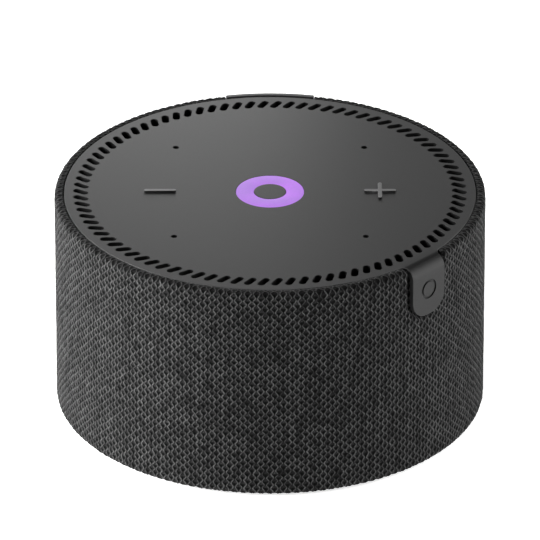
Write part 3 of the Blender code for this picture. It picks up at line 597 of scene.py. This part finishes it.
# ---------------------------------------------------------------- plates with rounded edges


def stadium(length, width, per_end=8):
    """Outline of a slot with round ends, along x, anticlockwise."""
    half, radius = (length - width) / 2, width / 2
    ends = []
    for side, start in ((1, -90), (-1, 90)):
        ends += [(side * half + x, y) for x, y in arc((0, 0), radius, start, start + 180, per_end)]
    return np.array(ends)


def circle(radius, count):
    angle = np.linspace(0, 2 * math.pi, count, endpoint=False)
    return np.stack([np.cos(angle), np.sin(angle)], axis=1) * radius


def placed(outline, centre=(0, 0), angle=0.0):
    c, s = math.cos(angle), math.sin(angle)
    return outline @ np.array([[c, s], [-s, c]]) + np.array(centre)


def outward(outline):
    """Unit normals of an anticlockwise closed outline, at its points."""
    ahead = np.roll(outline, -1, 0) - outline
    behind = outline - np.roll(outline, 1, 0)
    ahead /= np.linalg.norm(ahead, axis=1, keepdims=True)
    behind /= np.linalg.norm(behind, axis=1, keepdims=True)
    way = ahead + behind
    way /= np.linalg.norm(way, axis=1, keepdims=True)
    return np.stack([way[:, 1], -way[:, 0]], axis=1)


def inside(points, outline):
    """Which points lie inside a closed outline."""
    x, y = points[:, :1], points[:, 1:]
    x0, y0 = outline[:, 0], outline[:, 1]
    x1, y1 = np.roll(x0, -1), np.roll(y0, -1)
    crosses = (y0 > y) != (y1 > y)
    with np.errstate(divide="ignore", invalid="ignore"):
        at = x0 + (y - y0) / (y1 - y0) * (x1 - x0)
    return (np.count_nonzero(crosses & (x < at), axis=1) % 2).astype(bool)


def bounded(points, outline, left_out):
    """Which points lie inside an outline and outside all those left out."""
    kept = inside(points, outline)
    for hole in left_out:
        kept &= ~inside(points, hole)
    return kept


class Plate:
    """A bent plate with holes, raised marks and sunk ones, with rounded, exactly shaded edges."""

    def __init__(self, bend, thickness, round_steps=3):
        self.bend = bend
        self.thickness = thickness
        self.steps = round_steps
        self.points, self.faces, self.normals, self.marks = [], [], [], []
        self.count = 0

    def add(self, plan, depth):
        place, normal, x_axis, y_axis = self.bend(plan, depth)
        first = self.count
        self.points.append(place)
        self.count += len(plan)
        return np.arange(first, self.count), normal, x_axis, y_axis

    def face(self, corners, normals, mark=0.0):
        self.faces.append([int(c) for c in corners])
        self.normals.extend([tuple(n) for n in normals])
        self.marks.extend([mark] * len(corners))

    def depth_at(self, plan):
        return self.thickness(plan) if callable(self.thickness) else np.full(len(plan), self.thickness)

    def edge(self, outline, side, size, end_depth, start=0.0, top_mark=0.0, wall_mark=0.0):
        """Rounds the edge along an outline and drops a wall from depth start to end_depth.

        side is 1 for a hole and -1 for an outer boundary, size the rounding. The marks, painted
        highlight above 0 and painted shade below it, go on the rounding and on the wall. Returns the
        ring where the face begins, and the ring at the wall's foot, as (indices, plan points).
        """
        normals2 = outward(outline)
        rings = []
        for k in range(self.steps + 1):
            turn = math.pi / 2 * k / self.steps
            plan = outline + normals2 * (side * size * (1 - math.sin(turn)))
            depth = np.full(len(plan), start + size * (1 - math.cos(turn)))
            ids, up, x_axis, y_axis = self.add(plan, depth)
            out = x_axis * normals2[:, :1] + y_axis * normals2[:, 1:]
            shade = up * math.cos(turn) - out * (side * math.sin(turn))
            rings.append((ids, shade, plan))
        ids, up, x_axis, y_axis = self.add(outline, end_depth)
        out = x_axis * normals2[:, :1] + y_axis * normals2[:, 1:]
        rings.append((ids, -out * side, outline))
        for index, ((a, na, _), (b, nb, _)) in enumerate(zip(rings, rings[1:])):
            mark = wall_mark if index == self.steps else top_mark
            for i in range(len(outline)):
                j = (i + 1) % len(outline)
                corners = [(a[i], na[i]), (a[j], na[j]), (b[j], nb[j]), (b[i], nb[i])]
                if side < 0:
                    corners = [corners[k] for k in (0, 3, 2, 1)]
                self.face([c[0] for c in corners], [c[1] for c in corners], mark)
        return (rings[0][0], rings[0][2]), (rings[-1][0], rings[-1][2])

    def fill(self, loops, keep, extra=None, extra_depth=None, flip=False, mark=0.0):
        """Fills the region bounded by loops with triangles. keep says which centres belong.

        extra holds more plan points to use inside it, sunk by extra_depth.
        """
        plan, ids, edges = [], [], []
        for ring_ids, ring_plan in loops:
            first = sum(len(p) for p in plan)
            plan.append(ring_plan)
            ids.extend(ring_ids)
            n = len(ring_plan)
            edges += [(first + k, first + (k + 1) % n) for k in range(n)]
        if extra is not None and len(extra):
            plan.append(extra)
            ids.extend(self.add(extra, extra_depth)[0])
        plan = np.concatenate(plan)
        got, _, triangles, origin, _, _ = delaunay_2d_cdt([Vector(p) for p in plan], edges, [], 0, 1e-7)
        source = [o[0] for o in origin]
        triangles = np.array(triangles)
        got = np.array([tuple(p) for p in got])
        centres = got[triangles].mean(axis=1)
        _, normals, _, _ = self.bend(plan, np.zeros(len(plan)))
        for triangle in triangles[keep(centres)]:
            corners = [source[v] for v in triangle]
            if flip:
                corners.reverse()
            shade = [(-1 if flip else 1) * normals[c] for c in corners]
            self.face([ids[c] for c in corners], shade, mark)

    def build(self, name):
        points = np.concatenate(self.points)
        used = sorted({c for face in self.faces for c in face})
        index = {old: new for new, old in enumerate(used)}
        faces = [[index[c] for c in face] for face in self.faces]
        plate = make_object(name, points[used], faces, normals=self.normals)
        layer = plate.data.attributes.new("mark", "FLOAT", "CORNER")
        layer.data.foreach_set("value", np.array(self.marks, np.float32))
        return plate


# ---------------------------------------------------------------- touch panel

SLOT_COUNT = 90
SLOT_RING = 43.05
SLOT_LENGTH = 3.75
SLOT_WIDTH = 1.65
SLOT_LEAN = math.radians(-30)
SLOT_PHASE = math.radians(0.15)
MIC_OFFSET = 21.6
MIC_RADIUS = 0.72
LENS_RADIUS = 7.7
LENS_CLEARANCE = 0.06
MARK_OFFSET = 25.0
MARK_LENGTH = 7.3
MARK_STROKE = 0.9
RING_OUTER, RING_INNER = 2.35, 1.8
RING_DEPTH = 0.3
RING_FROM_END = 6.4
# Roundings of the edges.
RIM_ROUND = 0.14
SLOT_ROUND = 0.07
MIC_ROUND = 0.04
LENS_ROUND = 0.05
MARK_ROUND = 0.1
RING_ROUND = 0.1
# How much paler the rim's rounded edge is painted, a painted highlight, on the scale of the "mark" layer.
RIM_PAINTED_HIGHLIGHT = 0.35


def panel_outline():
    """The disc with the tab's tongue unrolled into its plane, anticlockwise."""
    reach_out = PANEL_RADIUS + TAB_FILLET
    side = TAB_HALF + TAB_FILLET
    centre = math.sqrt(reach_out ** 2 - side ** 2)
    start = math.degrees(math.atan2(side, centre))
    points = arc((0, 0), PANEL_RADIUS, start, 360 - start, 420)
    points += arc((centre, -side), TAB_FILLET, 180 - start, 90, 7)[1:]
    straight = np.linspace(centre, TAB_END - TAB_CORNER, 26)
    points += [(x, -TAB_HALF) for x in straight[1:-1]]
    points += arc((TAB_END - TAB_CORNER, -TAB_HALF + TAB_CORNER), TAB_CORNER, -90, 0, 12)
    points += arc((TAB_END - TAB_CORNER, TAB_HALF - TAB_CORNER), TAB_CORNER, 0, 90, 12)
    points += [(x, TAB_HALF) for x in straight[::-1][1:-1]]
    points += arc((centre, side), TAB_FILLET, 270, 180 + start, 7)[:-1]
    return placed(np.array(points), angle=TAB_AZIMUTH)


def plus_outline(length, stroke):
    """A plus with rounded ends, anticlockwise."""
    half, radius = length / 2, stroke / 2
    points = []
    for quarter in range(4):
        end = arc((half - radius, 0), radius, -80, 80, 4)
        points.append(placed(np.array(end + [(radius, radius)]), angle=quarter * math.pi / 2))
    return np.concatenate(points)


def panel_thickness(plan):
    a, t = along_tab(plan)
    share = smoothstep((a - THIN_START) / THIN_FADE) * (1 - smoothstep((np.abs(t) - THIN_HALF) / THIN_FADE))
    return PANEL_THICKNESS + (TAB_THICKNESS - PANEL_THICKNESS) * share


def panel_holes():
    """Outline and rounding of each hole that goes through the panel."""
    holes = []
    slot = stadium(SLOT_LENGTH, SLOT_WIDTH)
    for index in range(SLOT_COUNT):
        azimuth = 2 * math.pi * index / SLOT_COUNT + SLOT_PHASE
        centre = (SLOT_RING * math.cos(azimuth), SLOT_RING * math.sin(azimuth))
        holes.append((placed(slot, centre, azimuth + SLOT_LEAN), SLOT_ROUND))
    for sx in (-1, 1):
        for sy in (-1, 1):
            centre = (sx * MIC_OFFSET, sy * MIC_OFFSET)
            holes.append((placed(circle(MIC_RADIUS, 24), centre), MIC_ROUND))
    holes.append((circle(LENS_RADIUS + LENS_CLEARANCE, 128), LENS_ROUND))
    return holes


def bend_grid(outline, ring_centre):
    """Plan points that let the panel's face follow the tab's bend, clear of every edge."""
    close = np.arange(TAB_START + 0.1, TAB_START + 8, 0.3)
    far = np.arange(TAB_START + 8, TAB_END - 0.6, 1.0)
    across = np.arange(-9.6, 9.7, 0.8)
    grid = np.array([(a, t) for a in np.concatenate([close, far]) for t in across])
    grid = placed(grid, angle=TAB_AZIMUTH)
    clear = inside(grid, outline - outward(outline) * 0.55)
    clear &= ~inside(grid, placed(circle(RING_OUTER + 0.35, 48), ring_centre))
    clear |= inside(grid, placed(circle(RING_INNER - 0.35, 48), ring_centre))
    return grid[clear]


def make_panel():
    plate = Plate(bend_panel, panel_thickness)
    outline = panel_outline()
    # The rim's rounded edge is painted paler, a painted highlight.
    rim_top, rim_foot = plate.edge(outline, -1, RIM_ROUND, plate.depth_at(outline), top_mark=RIM_PAINTED_HIGHLIGHT)
    # Rings that bound the upper and the lower face, and plan outlines that the faces leave out.
    tops, feet = [rim_top], [rim_foot]
    left_out_above, left_out_below = [], []
    for hole, size in panel_holes():
        # The walls of the holes are painted near black, as painted shade.
        top, foot = plate.edge(hole, 1, size, plate.depth_at(hole), wall_mark=-1)
        tops.append(top)
        feet.append(foot)
        left_out_above.append(top[1])
        left_out_below.append(foot[1])
    # Raised marks: their walls drop from the marks' top to the panel's face. Their tops are painted pale, a
    # painted highlight, and their walls dark, painted shade.
    minus = placed(stadium(MARK_LENGTH, MARK_STROKE, 6), (-MARK_OFFSET, 0))
    plus = placed(plus_outline(MARK_LENGTH, MARK_STROKE), (MARK_OFFSET, 0))
    for mark in (minus, plus):
        level = np.zeros(len(mark))
        top, foot = plate.edge(mark, -1, MARK_ROUND, level, PANEL_TOP - MARK_TOP, top_mark=1, wall_mark=-1)
        tops.append(foot)
        left_out_above.append(foot[1])
        plate.fill([top], lambda c, bound=top[1]: inside(c, bound), mark=1)
    # A plain sunk ring on the hanging face of the tab, with its walls and floor painted dark as painted
    # shade.
    ring_centre = tuple((TAB_END - RING_FROM_END) * way for way in TAB_WAY)
    outer = placed(circle(RING_OUTER, 48), ring_centre)
    inner = placed(circle(RING_INNER, 48), ring_centre)
    depth = np.full(len(outer), RING_DEPTH)
    outer_top, outer_foot = plate.edge(outer, 1, RING_ROUND, depth, wall_mark=-1)
    inner_top, inner_foot = plate.edge(inner, -1, RING_ROUND, depth, wall_mark=-1)
    tops += [outer_top, inner_top]

    def between(c, wide, narrow):
        return inside(c, wide[1]) & ~inside(c, narrow[1])

    plate.fill([outer_foot, inner_foot], lambda c: between(c, outer_foot, inner_foot), mark=-1)
    grid = bend_grid(outline, ring_centre)

    def on_top(c):
        return bounded(c, rim_top[1], left_out_above) & ~between(c, outer_top, inner_top)

    def below(c):
        return bounded(c, rim_foot[1], left_out_below)

    plate.fill(tops, on_top, grid, np.zeros(len(grid)))
    plate.fill(feet, below, grid, plate.depth_at(grid), flip=True)
    return dress(plate.build("touch_panel"), "housing", "panel_plastic", "top_panel")


# ---------------------------------------------------------------- fabric sleeve

PLATE_AZIMUTH = math.pi / 2
SEAM_HALF_ANGLE = math.radians(12.25)
YARNS = 284
# A yarn's zigzag: its length along the wall, its swing to each side, and its cross-section.
PERIOD = 1.838
ROWS_PER_PERIOD = 8
WIGGLE = 0.27
YARN_WIDTH = 0.22
CREST = 0.15
COLUMNS = (-0.22, -0.11, 0.0, 0.11, 0.22)
# Unevenness: sideways drift and lift in millimetres, slip of the stitches in radians of the
# zigzag, shares of the yarn's width and of the wear on each stitch.
KNOTS, STITCH_KNOTS, NEIGHBOURS = 30, 60, 4
DRIFT, LIFT = 0.055, 0.03
SHARED_SLIP, OWN_SLIP = 0.45, 0.22
UNEVEN_WIDTH, UNEVEN_WEAR = 0.10, 0.28
# The cells between the yarns.
PIT_DEPTH, BLOB_HEIGHT, CROSSING_HEIGHT = 0.15, 0.15, 0.08
# How far the fabric stays from the tab, and how deep it is pressed in beside it.
TAB_CLEARANCE = 0.2
TAB_PRESS = 0.95
TAB_UNDERLAP = 0.6
SEAM_TURN = 0.5


def tab_distance(across, z, facing):
    """How far a point of the wall lies outside the tab's tongue, seen square on."""
    beside = np.abs(across) - (TAB_HALF - TAB_CORNER)
    below = (TAB_LOW + TAB_CORNER) - z
    away = np.hypot(np.maximum(beside, 0), np.maximum(below, 0)) - TAB_CORNER
    away = away + np.minimum(np.maximum(beside, below), 0)
    return np.where(facing > 0, away, BODY_RADIUS)


def wander(s, rows, knots, spread, mean=0.0):
    """Random values that change slowly along the section, one row for each yarn."""
    places = np.linspace(0, s[-1], knots)
    return np.stack([np.interp(s, places, row) for row in rng.normal(mean, spread, (rows, knots))])


def lay_yarns(s, pitch):
    """Places across the wall, height and painted shade, with random wearing, of every yarn and cell, for
    each row of the section.

    Each yarn has the columns of its own section and one more in the cell that follows it.
    """
    yarn = np.arange(YARNS)
    sign = np.where(yarn % 2, 1.0, -1.0)[:, None]
    # Slow changes of each yarn's sideways place, width and height, as in any real cloth.
    drift = wander(s, YARNS, KNOTS, DRIFT)
    fat = 1 + UNEVEN_WIDTH * rng.normal(0, 1, (YARNS, 1)).clip(-1.5, 1.5)
    lift = wander(s, YARNS, KNOTS, LIFT)
    # The stitches slip up and down a little, together with their neighbours and on their own.
    shared = wander(s, YARNS // NEIGHBOURS + 2, KNOTS, 1)
    low = yarn // NEIGHBOURS
    part = (yarn / NEIGHBOURS - low)[:, None]
    slip = (shared[low] * (1 - part) + shared[low + 1] * part) * SHARED_SLIP
    slip += wander(s, YARNS, KNOTS, OWN_SLIP)
    phase = 2 * math.pi * s / PERIOD + slip
    # A sine with flattened sides, between a triangle and a sine.
    wave = np.clip((np.sin(phase) - np.sin(3 * phase) / 9) * 1.12, -1, 1)
    centre = (yarn[:, None] + 0.5) * pitch + sign * WIGGLE * wave + drift
    across = np.zeros((YARNS, len(COLUMNS) + 1, len(s)))
    height = np.zeros_like(across)
    shade_and_wear = np.zeros_like(across)
    for k, w in enumerate(COLUMNS):
        profile = math.sqrt(1 - (w / (YARN_WIDTH * 1.12)) ** 2)
        across[:, k] = centre + w * fat
        height[:, k] = (CREST + lift) * profile
        # Painted shade: each yarn is palest on its crest and darker towards its flanks.
        shade_and_wear[:, k] = profile ** 2
    following = np.concatenate([centre[1:], centre[-1:] + pitch])
    fat_next = np.concatenate([fat[1:], fat[-1:]])
    edge_a = centre + YARN_WIDTH * fat
    edge_b = following - YARN_WIDTH * fat_next
    gap = np.maximum(edge_b - edge_a, 0.0)
    across[:, -1] = (edge_a + edge_b) / 2
    # A cell is deepest at its lower end, with a blob of the inner layer above.
    open_share = (1 - sign * wave) / 2
    blob = open_share * smoothstep(sign * np.cos(phase) * 0.5 + 0.5)
    height[:, -1] = CROSSING_HEIGHT * (1 - smoothstep(gap / 0.5))
    height[:, -1] += BLOB_HEIGHT * blob - PIT_DEPTH * smoothstep(gap / 0.7)
    # Painted shade in the cell: dark in the open pit, a little paler at the crossings, paler still on the
    # blob.
    shade_and_wear[:, -1] = 0.15 * (1 - smoothstep(gap / 0.4)) + 0.62 * blob
    shade_and_wear *= wander(s, YARNS, STITCH_KNOTS, UNEVEN_WEAR, 1)[:, None, :].clip(0.45, 1.4)
    across, height, shade_and_wear = (grid.reshape(-1, len(s)) for grid in (across, height, shade_and_wear))
    # Neighbouring yarns touch but never pass through each other.
    return np.maximum.accumulate(across, axis=0), height, shade_and_wear


def make_fabric():
    """One open sheet whose surface follows every yarn: zigzag yarns, sunk cells between."""
    section = Section(wall_path(BODY_RADIUS - CREST * 0.9, 1.1))
    sweep = 2 * math.pi - 2 * SEAM_HALF_ANGLE
    pitch = BODY_RADIUS * sweep / YARNS
    width = pitch * YARNS
    rows = int(round(section.length / (PERIOD / ROWS_PER_PERIOD))) + 1
    s = np.linspace(0, section.length, rows)
    across, height, shade_and_wear = lay_yarns(s, pitch)
    # The last column closes the sheet at its other end, and the first starts it at zero.
    across = np.concatenate([np.zeros((1, rows)), across[:-1], np.full((1, rows), width)])
    height = np.concatenate([height[-1:], height[:-1], height[-1:]])
    shade_and_wear = np.concatenate([shade_and_wear[-1:], shade_and_wear[:-1], shade_and_wear[-1:]])
    # Painted shadow: the roll into the upper lip is darkened, standing in for the shadow of the panel's
    # edge.
    shade_and_wear *= 0.62 + 0.38 * smoothstep((section.length - s - 2.0) / 1.4)
    # The lips lie flatter, and the two ends turn in at the rear plate's seams.
    from_lip = np.minimum(s, section.length - s)
    height *= 0.35 + 0.65 * smoothstep((from_lip - 0.9) / 1.2)
    from_seam = np.minimum(across, width - across)
    height = height * smoothstep(from_seam / 0.4) - SEAM_TURN * (1 - smoothstep(from_seam / 0.16))
    angle = PLATE_AZIMUTH + SEAM_HALF_ANGLE + across / BODY_RADIUS
    radius, z = section.place(s)
    normal_r, normal_z = section.normal(s, 0.2)
    # Pressed in round the tab, and cut away under it.
    from_tab = angle - TAB_AZIMUTH
    outside = tab_distance(np.sin(from_tab) * radius, z, np.cos(from_tab))
    height = height - TAB_PRESS * (1 - smoothstep((outside - TAB_CLEARANCE) / 1.0))
    r = radius + normal_r * height
    points = np.stack([r * np.cos(angle), r * np.sin(angle), z + normal_z * height], axis=2).reshape(-1, 3)
    a, b = np.meshgrid(np.arange(len(across) - 1), np.arange(rows - 1), indexing="ij")
    corner = a * rows + b
    quads = np.stack([corner, corner + rows, corner + rows + 1, corner + 1], axis=2)
    quads = quads[outside[:-1, :-1] >= -TAB_UNDERLAP]
    used, quads = np.unique(quads, return_inverse=True)
    sheet = make_object("fabric_wrap", points[used], quads.reshape(-1, 4).tolist())
    # The "yarn" layer carries painted shade, varied by each stitch's random wearing, into the fabric's
    # colour.
    layer = sheet.data.attributes.new("yarn", "FLOAT", "POINT")
    layer.data.foreach_set("value", shade_and_wear.reshape(-1)[used].astype(np.float32))
    dress(sheet, "housing", "woven_fabric", "fabric_sleeve")
    return sheet


# ---------------------------------------------------------------- rear plate and smaller pieces

PLATE_HALF = 10.35
PLATE_THICKNESS = 1.0
PLATE_ROLL = 0.3
PLATE_LIP = 47.5
PLATE_EDGE = 0.12
PLATE_LOW_END, PLATE_HIGH_END = 0.9, 1.0
PORT_Z, PORT_LENGTH, PORT_WIDTH, PORT_ROUND = 14.0, 12.6, 7.0, 0.35
BUTTON_Z, BUTTON_LENGTH, BUTTON_WIDTH, BUTTON_ROUND = 36.0, 9.0, 4.4, 0.18
LENS_FLANGE = 9.5
CAP_GAP = 0.3
FOOT_INNER = 34.0
FOOT_ROUND = 0.5
GROOVES = (36.6, 38.75, 40.9)
GROOVE_DEPTH, GROOVE_TOP_HALF, GROOVE_FLOOR_HALF = 0.25, 0.35, 0.2


def rounded_rectangle(x0, x1, y0, y1, radius, spacing):
    """Outline with evenly spaced points and round corners, anticlockwise."""
    points = []
    corners = [(x1, y0, -90, -1, 1), (x1, y1, 0, -1, -1), (x0, y1, 90, 1, -1), (x0, y0, 180, 1, 1)]
    for x, y, start, sx, sy in corners:
        points += arc((x + sx * radius, y + sy * radius), radius, start, start + 90, 5)
    points = np.array(points)
    out = []
    for a, b in zip(points, np.roll(points, -1, 0)):
        n = max(1, int(round(np.linalg.norm(b - a) / spacing)))
        out += [a + (b - a) * k / n for k in range(n)]
    return np.array(out)


def make_rear_plate():
    section = Section(wall_path(BODY_RADIUS, 0.9, PANEL_TOP, PLATE_ROLL, PLATE_LIP))
    plate = Plate(wall_map(section, PLATE_AZIMUTH, BODY_RADIUS), PLATE_THICKNESS)
    straight = section.path[:, 0] > BODY_RADIUS - 0.01

    def length_at(z):
        return float(np.interp(z, section.path[straight, 1], section.at[straight]))

    top_end = section.length - PLATE_HIGH_END
    outline = rounded_rectangle(-PLATE_HALF, PLATE_HALF, PLATE_LOW_END, top_end, 0.4, 0.7)
    port = placed(stadium(PORT_LENGTH, PORT_WIDTH, 16), (0, length_at(PORT_Z)))
    button = placed(stadium(BUTTON_LENGTH, BUTTON_WIDTH, 14), (0, length_at(BUTTON_Z)))
    rings = [plate.edge(outline, -1, PLATE_EDGE, plate.depth_at(outline))]
    for hole, size in ((port, PORT_ROUND), (button, BUTTON_ROUND)):
        rings.append(plate.edge(hole, 1, size, plate.depth_at(hole)))
    # Points that let the faces follow the plate's rolls.
    up = np.arange(1.5, section.length - 1.4, 0.35)
    grid = np.array([(x, y) for x in np.arange(-9.5, 9.6, 1.0) for y in up])
    for hole in (port, button):
        grid = grid[~inside(grid, hole + outward(hole) * 0.6)]

    def fill(loops, depth, flip):
        bound, *left_out = (loop[1] for loop in loops)
        plate.fill(loops, lambda c: bounded(c, bound, left_out), grid, depth, flip=flip)

    fill([top for top, _ in rings], np.zeros(len(grid)), False)
    fill([foot for _, foot in rings], plate.depth_at(grid), True)
    return dress(plate.build("connector_plate"), "housing", "plate_plastic", "rear_plate")


def make_light():
    """The light guide and the dark disc in its middle."""
    flange_low, flange_high = span("light_lens")[0], span("vent_mesh")[1]
    low, high = span("centre_cap")
    recess = CAP_RADIUS + 0.03
    floor = low - CAP_GAP
    profile = [
        (0, flange_low), (LENS_FLANGE, flange_low), (LENS_FLANGE, flange_high), (LENS_RADIUS, flange_high),
        (LENS_RADIUS, PANEL_TOP), (recess, PANEL_TOP), (recess, floor), (0, floor),
    ]
    lens = turned("light_ring", rounded(profile, [0, 0, 0, 0, 0.08, 0.06, 0, 0]), 160)
    dress(lens, "housing", "light_lens", "light_lens")
    # The extra ring near the edge keeps the disc's top flat in its shading.
    profile = [(0, low), (CAP_RADIUS, low), (CAP_RADIUS, high), (CAP_RADIUS - 0.3, high), (0, high)]
    cap = turned("light_centre", rounded(profile, [0, 0, 0.12, 0, 0]), 96)
    dress(cap, "housing", "dark_cap", "centre_cap")


def make_foot():
    """Rubber ring with rounded shoulders and three shallow grip grooves underneath."""
    low, high = span("foot_pad")
    outer = reach("foot_pad")
    centre_z = low + FOOT_ROUND
    profile = [(FOOT_INNER, high), (FOOT_INNER, centre_z)]
    profile += arc((FOOT_INNER + FOOT_ROUND, centre_z), FOOT_ROUND, 180, 270, 5)[1:]
    for middle in GROOVES:
        floor = low + GROOVE_DEPTH
        profile += [(middle - GROOVE_TOP_HALF, low), (middle - GROOVE_FLOOR_HALF, floor)]
        profile += [(middle + GROOVE_FLOOR_HALF, floor), (middle + GROOVE_TOP_HALF, low)]
    profile += arc((outer - FOOT_ROUND, centre_z), FOOT_ROUND, 270, 360, 5)
    profile += [(outer, high)]
    dress(turned("rubber_foot", profile, 180, sharp=35), "housing", "black_rubber", "foot_pad")


make_panel()
make_fabric()
make_rear_plate()
make_light()
make_foot()

# ---------------------------------------------------------------- camera, floor and light

CAMERA_AT = (0, -1.81154, PANEL_TOP * MM + 0.95939)
CAMERA_PITCH = math.radians(28.405)
CAMERA_LENS = 601.1
WORLD_LIGHT = 0.02
FLOOR_HALF = 6000
FLOOR_GLOW = 0.68
LIGHT_TARGET = (0, 0, 0.03)
# Name, place and side length in metres, and strength in watts.
SOFTBOXES = [
    ("left", (-0.3, -0.02, 0.10), 0.2, 1.62),
    ("front_left", (-0.3, -0.15, 0.12), 0.2, 1.28),
    ("right", (0.35, 0.05, 0.12), 0.35, 1.12),
    ("front_right", (0.35, -0.14, 0.12), 0.35, 0.90),
    ("back", (0.05, 0.45, 0.22), 0.2, 0.10),
    ("back_far", (-0.1, 0.5, 0.22), 0.25, 0.044),
    ("back_low", (-0.04, 0.25, 0.12), 0.1, 0.069),
]
scene = bpy.context.scene


def make_camera():
    data = bpy.data.cameras.new("camera")
    data.lens = CAMERA_LENS
    data.sensor_width = 36
    data.clip_start = 0.05
    data.clip_end = 50
    camera = bpy.data.objects.new("camera", data)
    camera.location = CAMERA_AT
    camera.rotation_euler = (math.pi / 2 - CAMERA_PITCH, 0, 0)
    scene.collection.objects.link(camera)
    scene.camera = camera


def make_world():
    world = bpy.data.worlds.new("studio")
    world.use_nodes = True
    background = world.node_tree.nodes["Background"]
    background.inputs["Color"].default_value = (1, 1, 1, 1)
    background.inputs["Strength"].default_value = WORLD_LIGHT
    scene.world = world
    scene.view_settings.view_transform = "Standard"


def make_floor():
    finish = Finish("pale_floor", Roughness=0.9, Specular_IOR_Level=0.1, Emission_Strength=FLOOR_GLOW)
    finish.shader.inputs["Emission Color"].default_value = (1, 1, 1, 1)
    finish.colour(finish.ramp(finish.noise(60, 2), (0.3, grey(0.93)), (0.7, grey(0.95))))
    corners = [(x * FLOOR_HALF, y * FLOOR_HALF, 0) for x, y in ((-1, -1), (1, -1), (1, 1), (-1, 1))]
    make_object("floor", corners, [[0, 1, 2, 3]], finish.material)


def softbox(name, place, size, strength):
    data = bpy.data.lights.new(name, "AREA")
    data.shape = "RECTANGLE"
    data.size, data.size_y = size, size
    data.energy = strength
    lamp = bpy.data.objects.new(name, data)
    lamp.location = place
    lamp.rotation_euler = (Vector(LIGHT_TARGET) - Vector(place)).to_track_quat("-Z", "Y").to_euler()
    scene.collection.objects.link(lamp)


make_camera()
make_world()
make_floor()
for softbox_row in SOFTBOXES:
    softbox(*softbox_row)
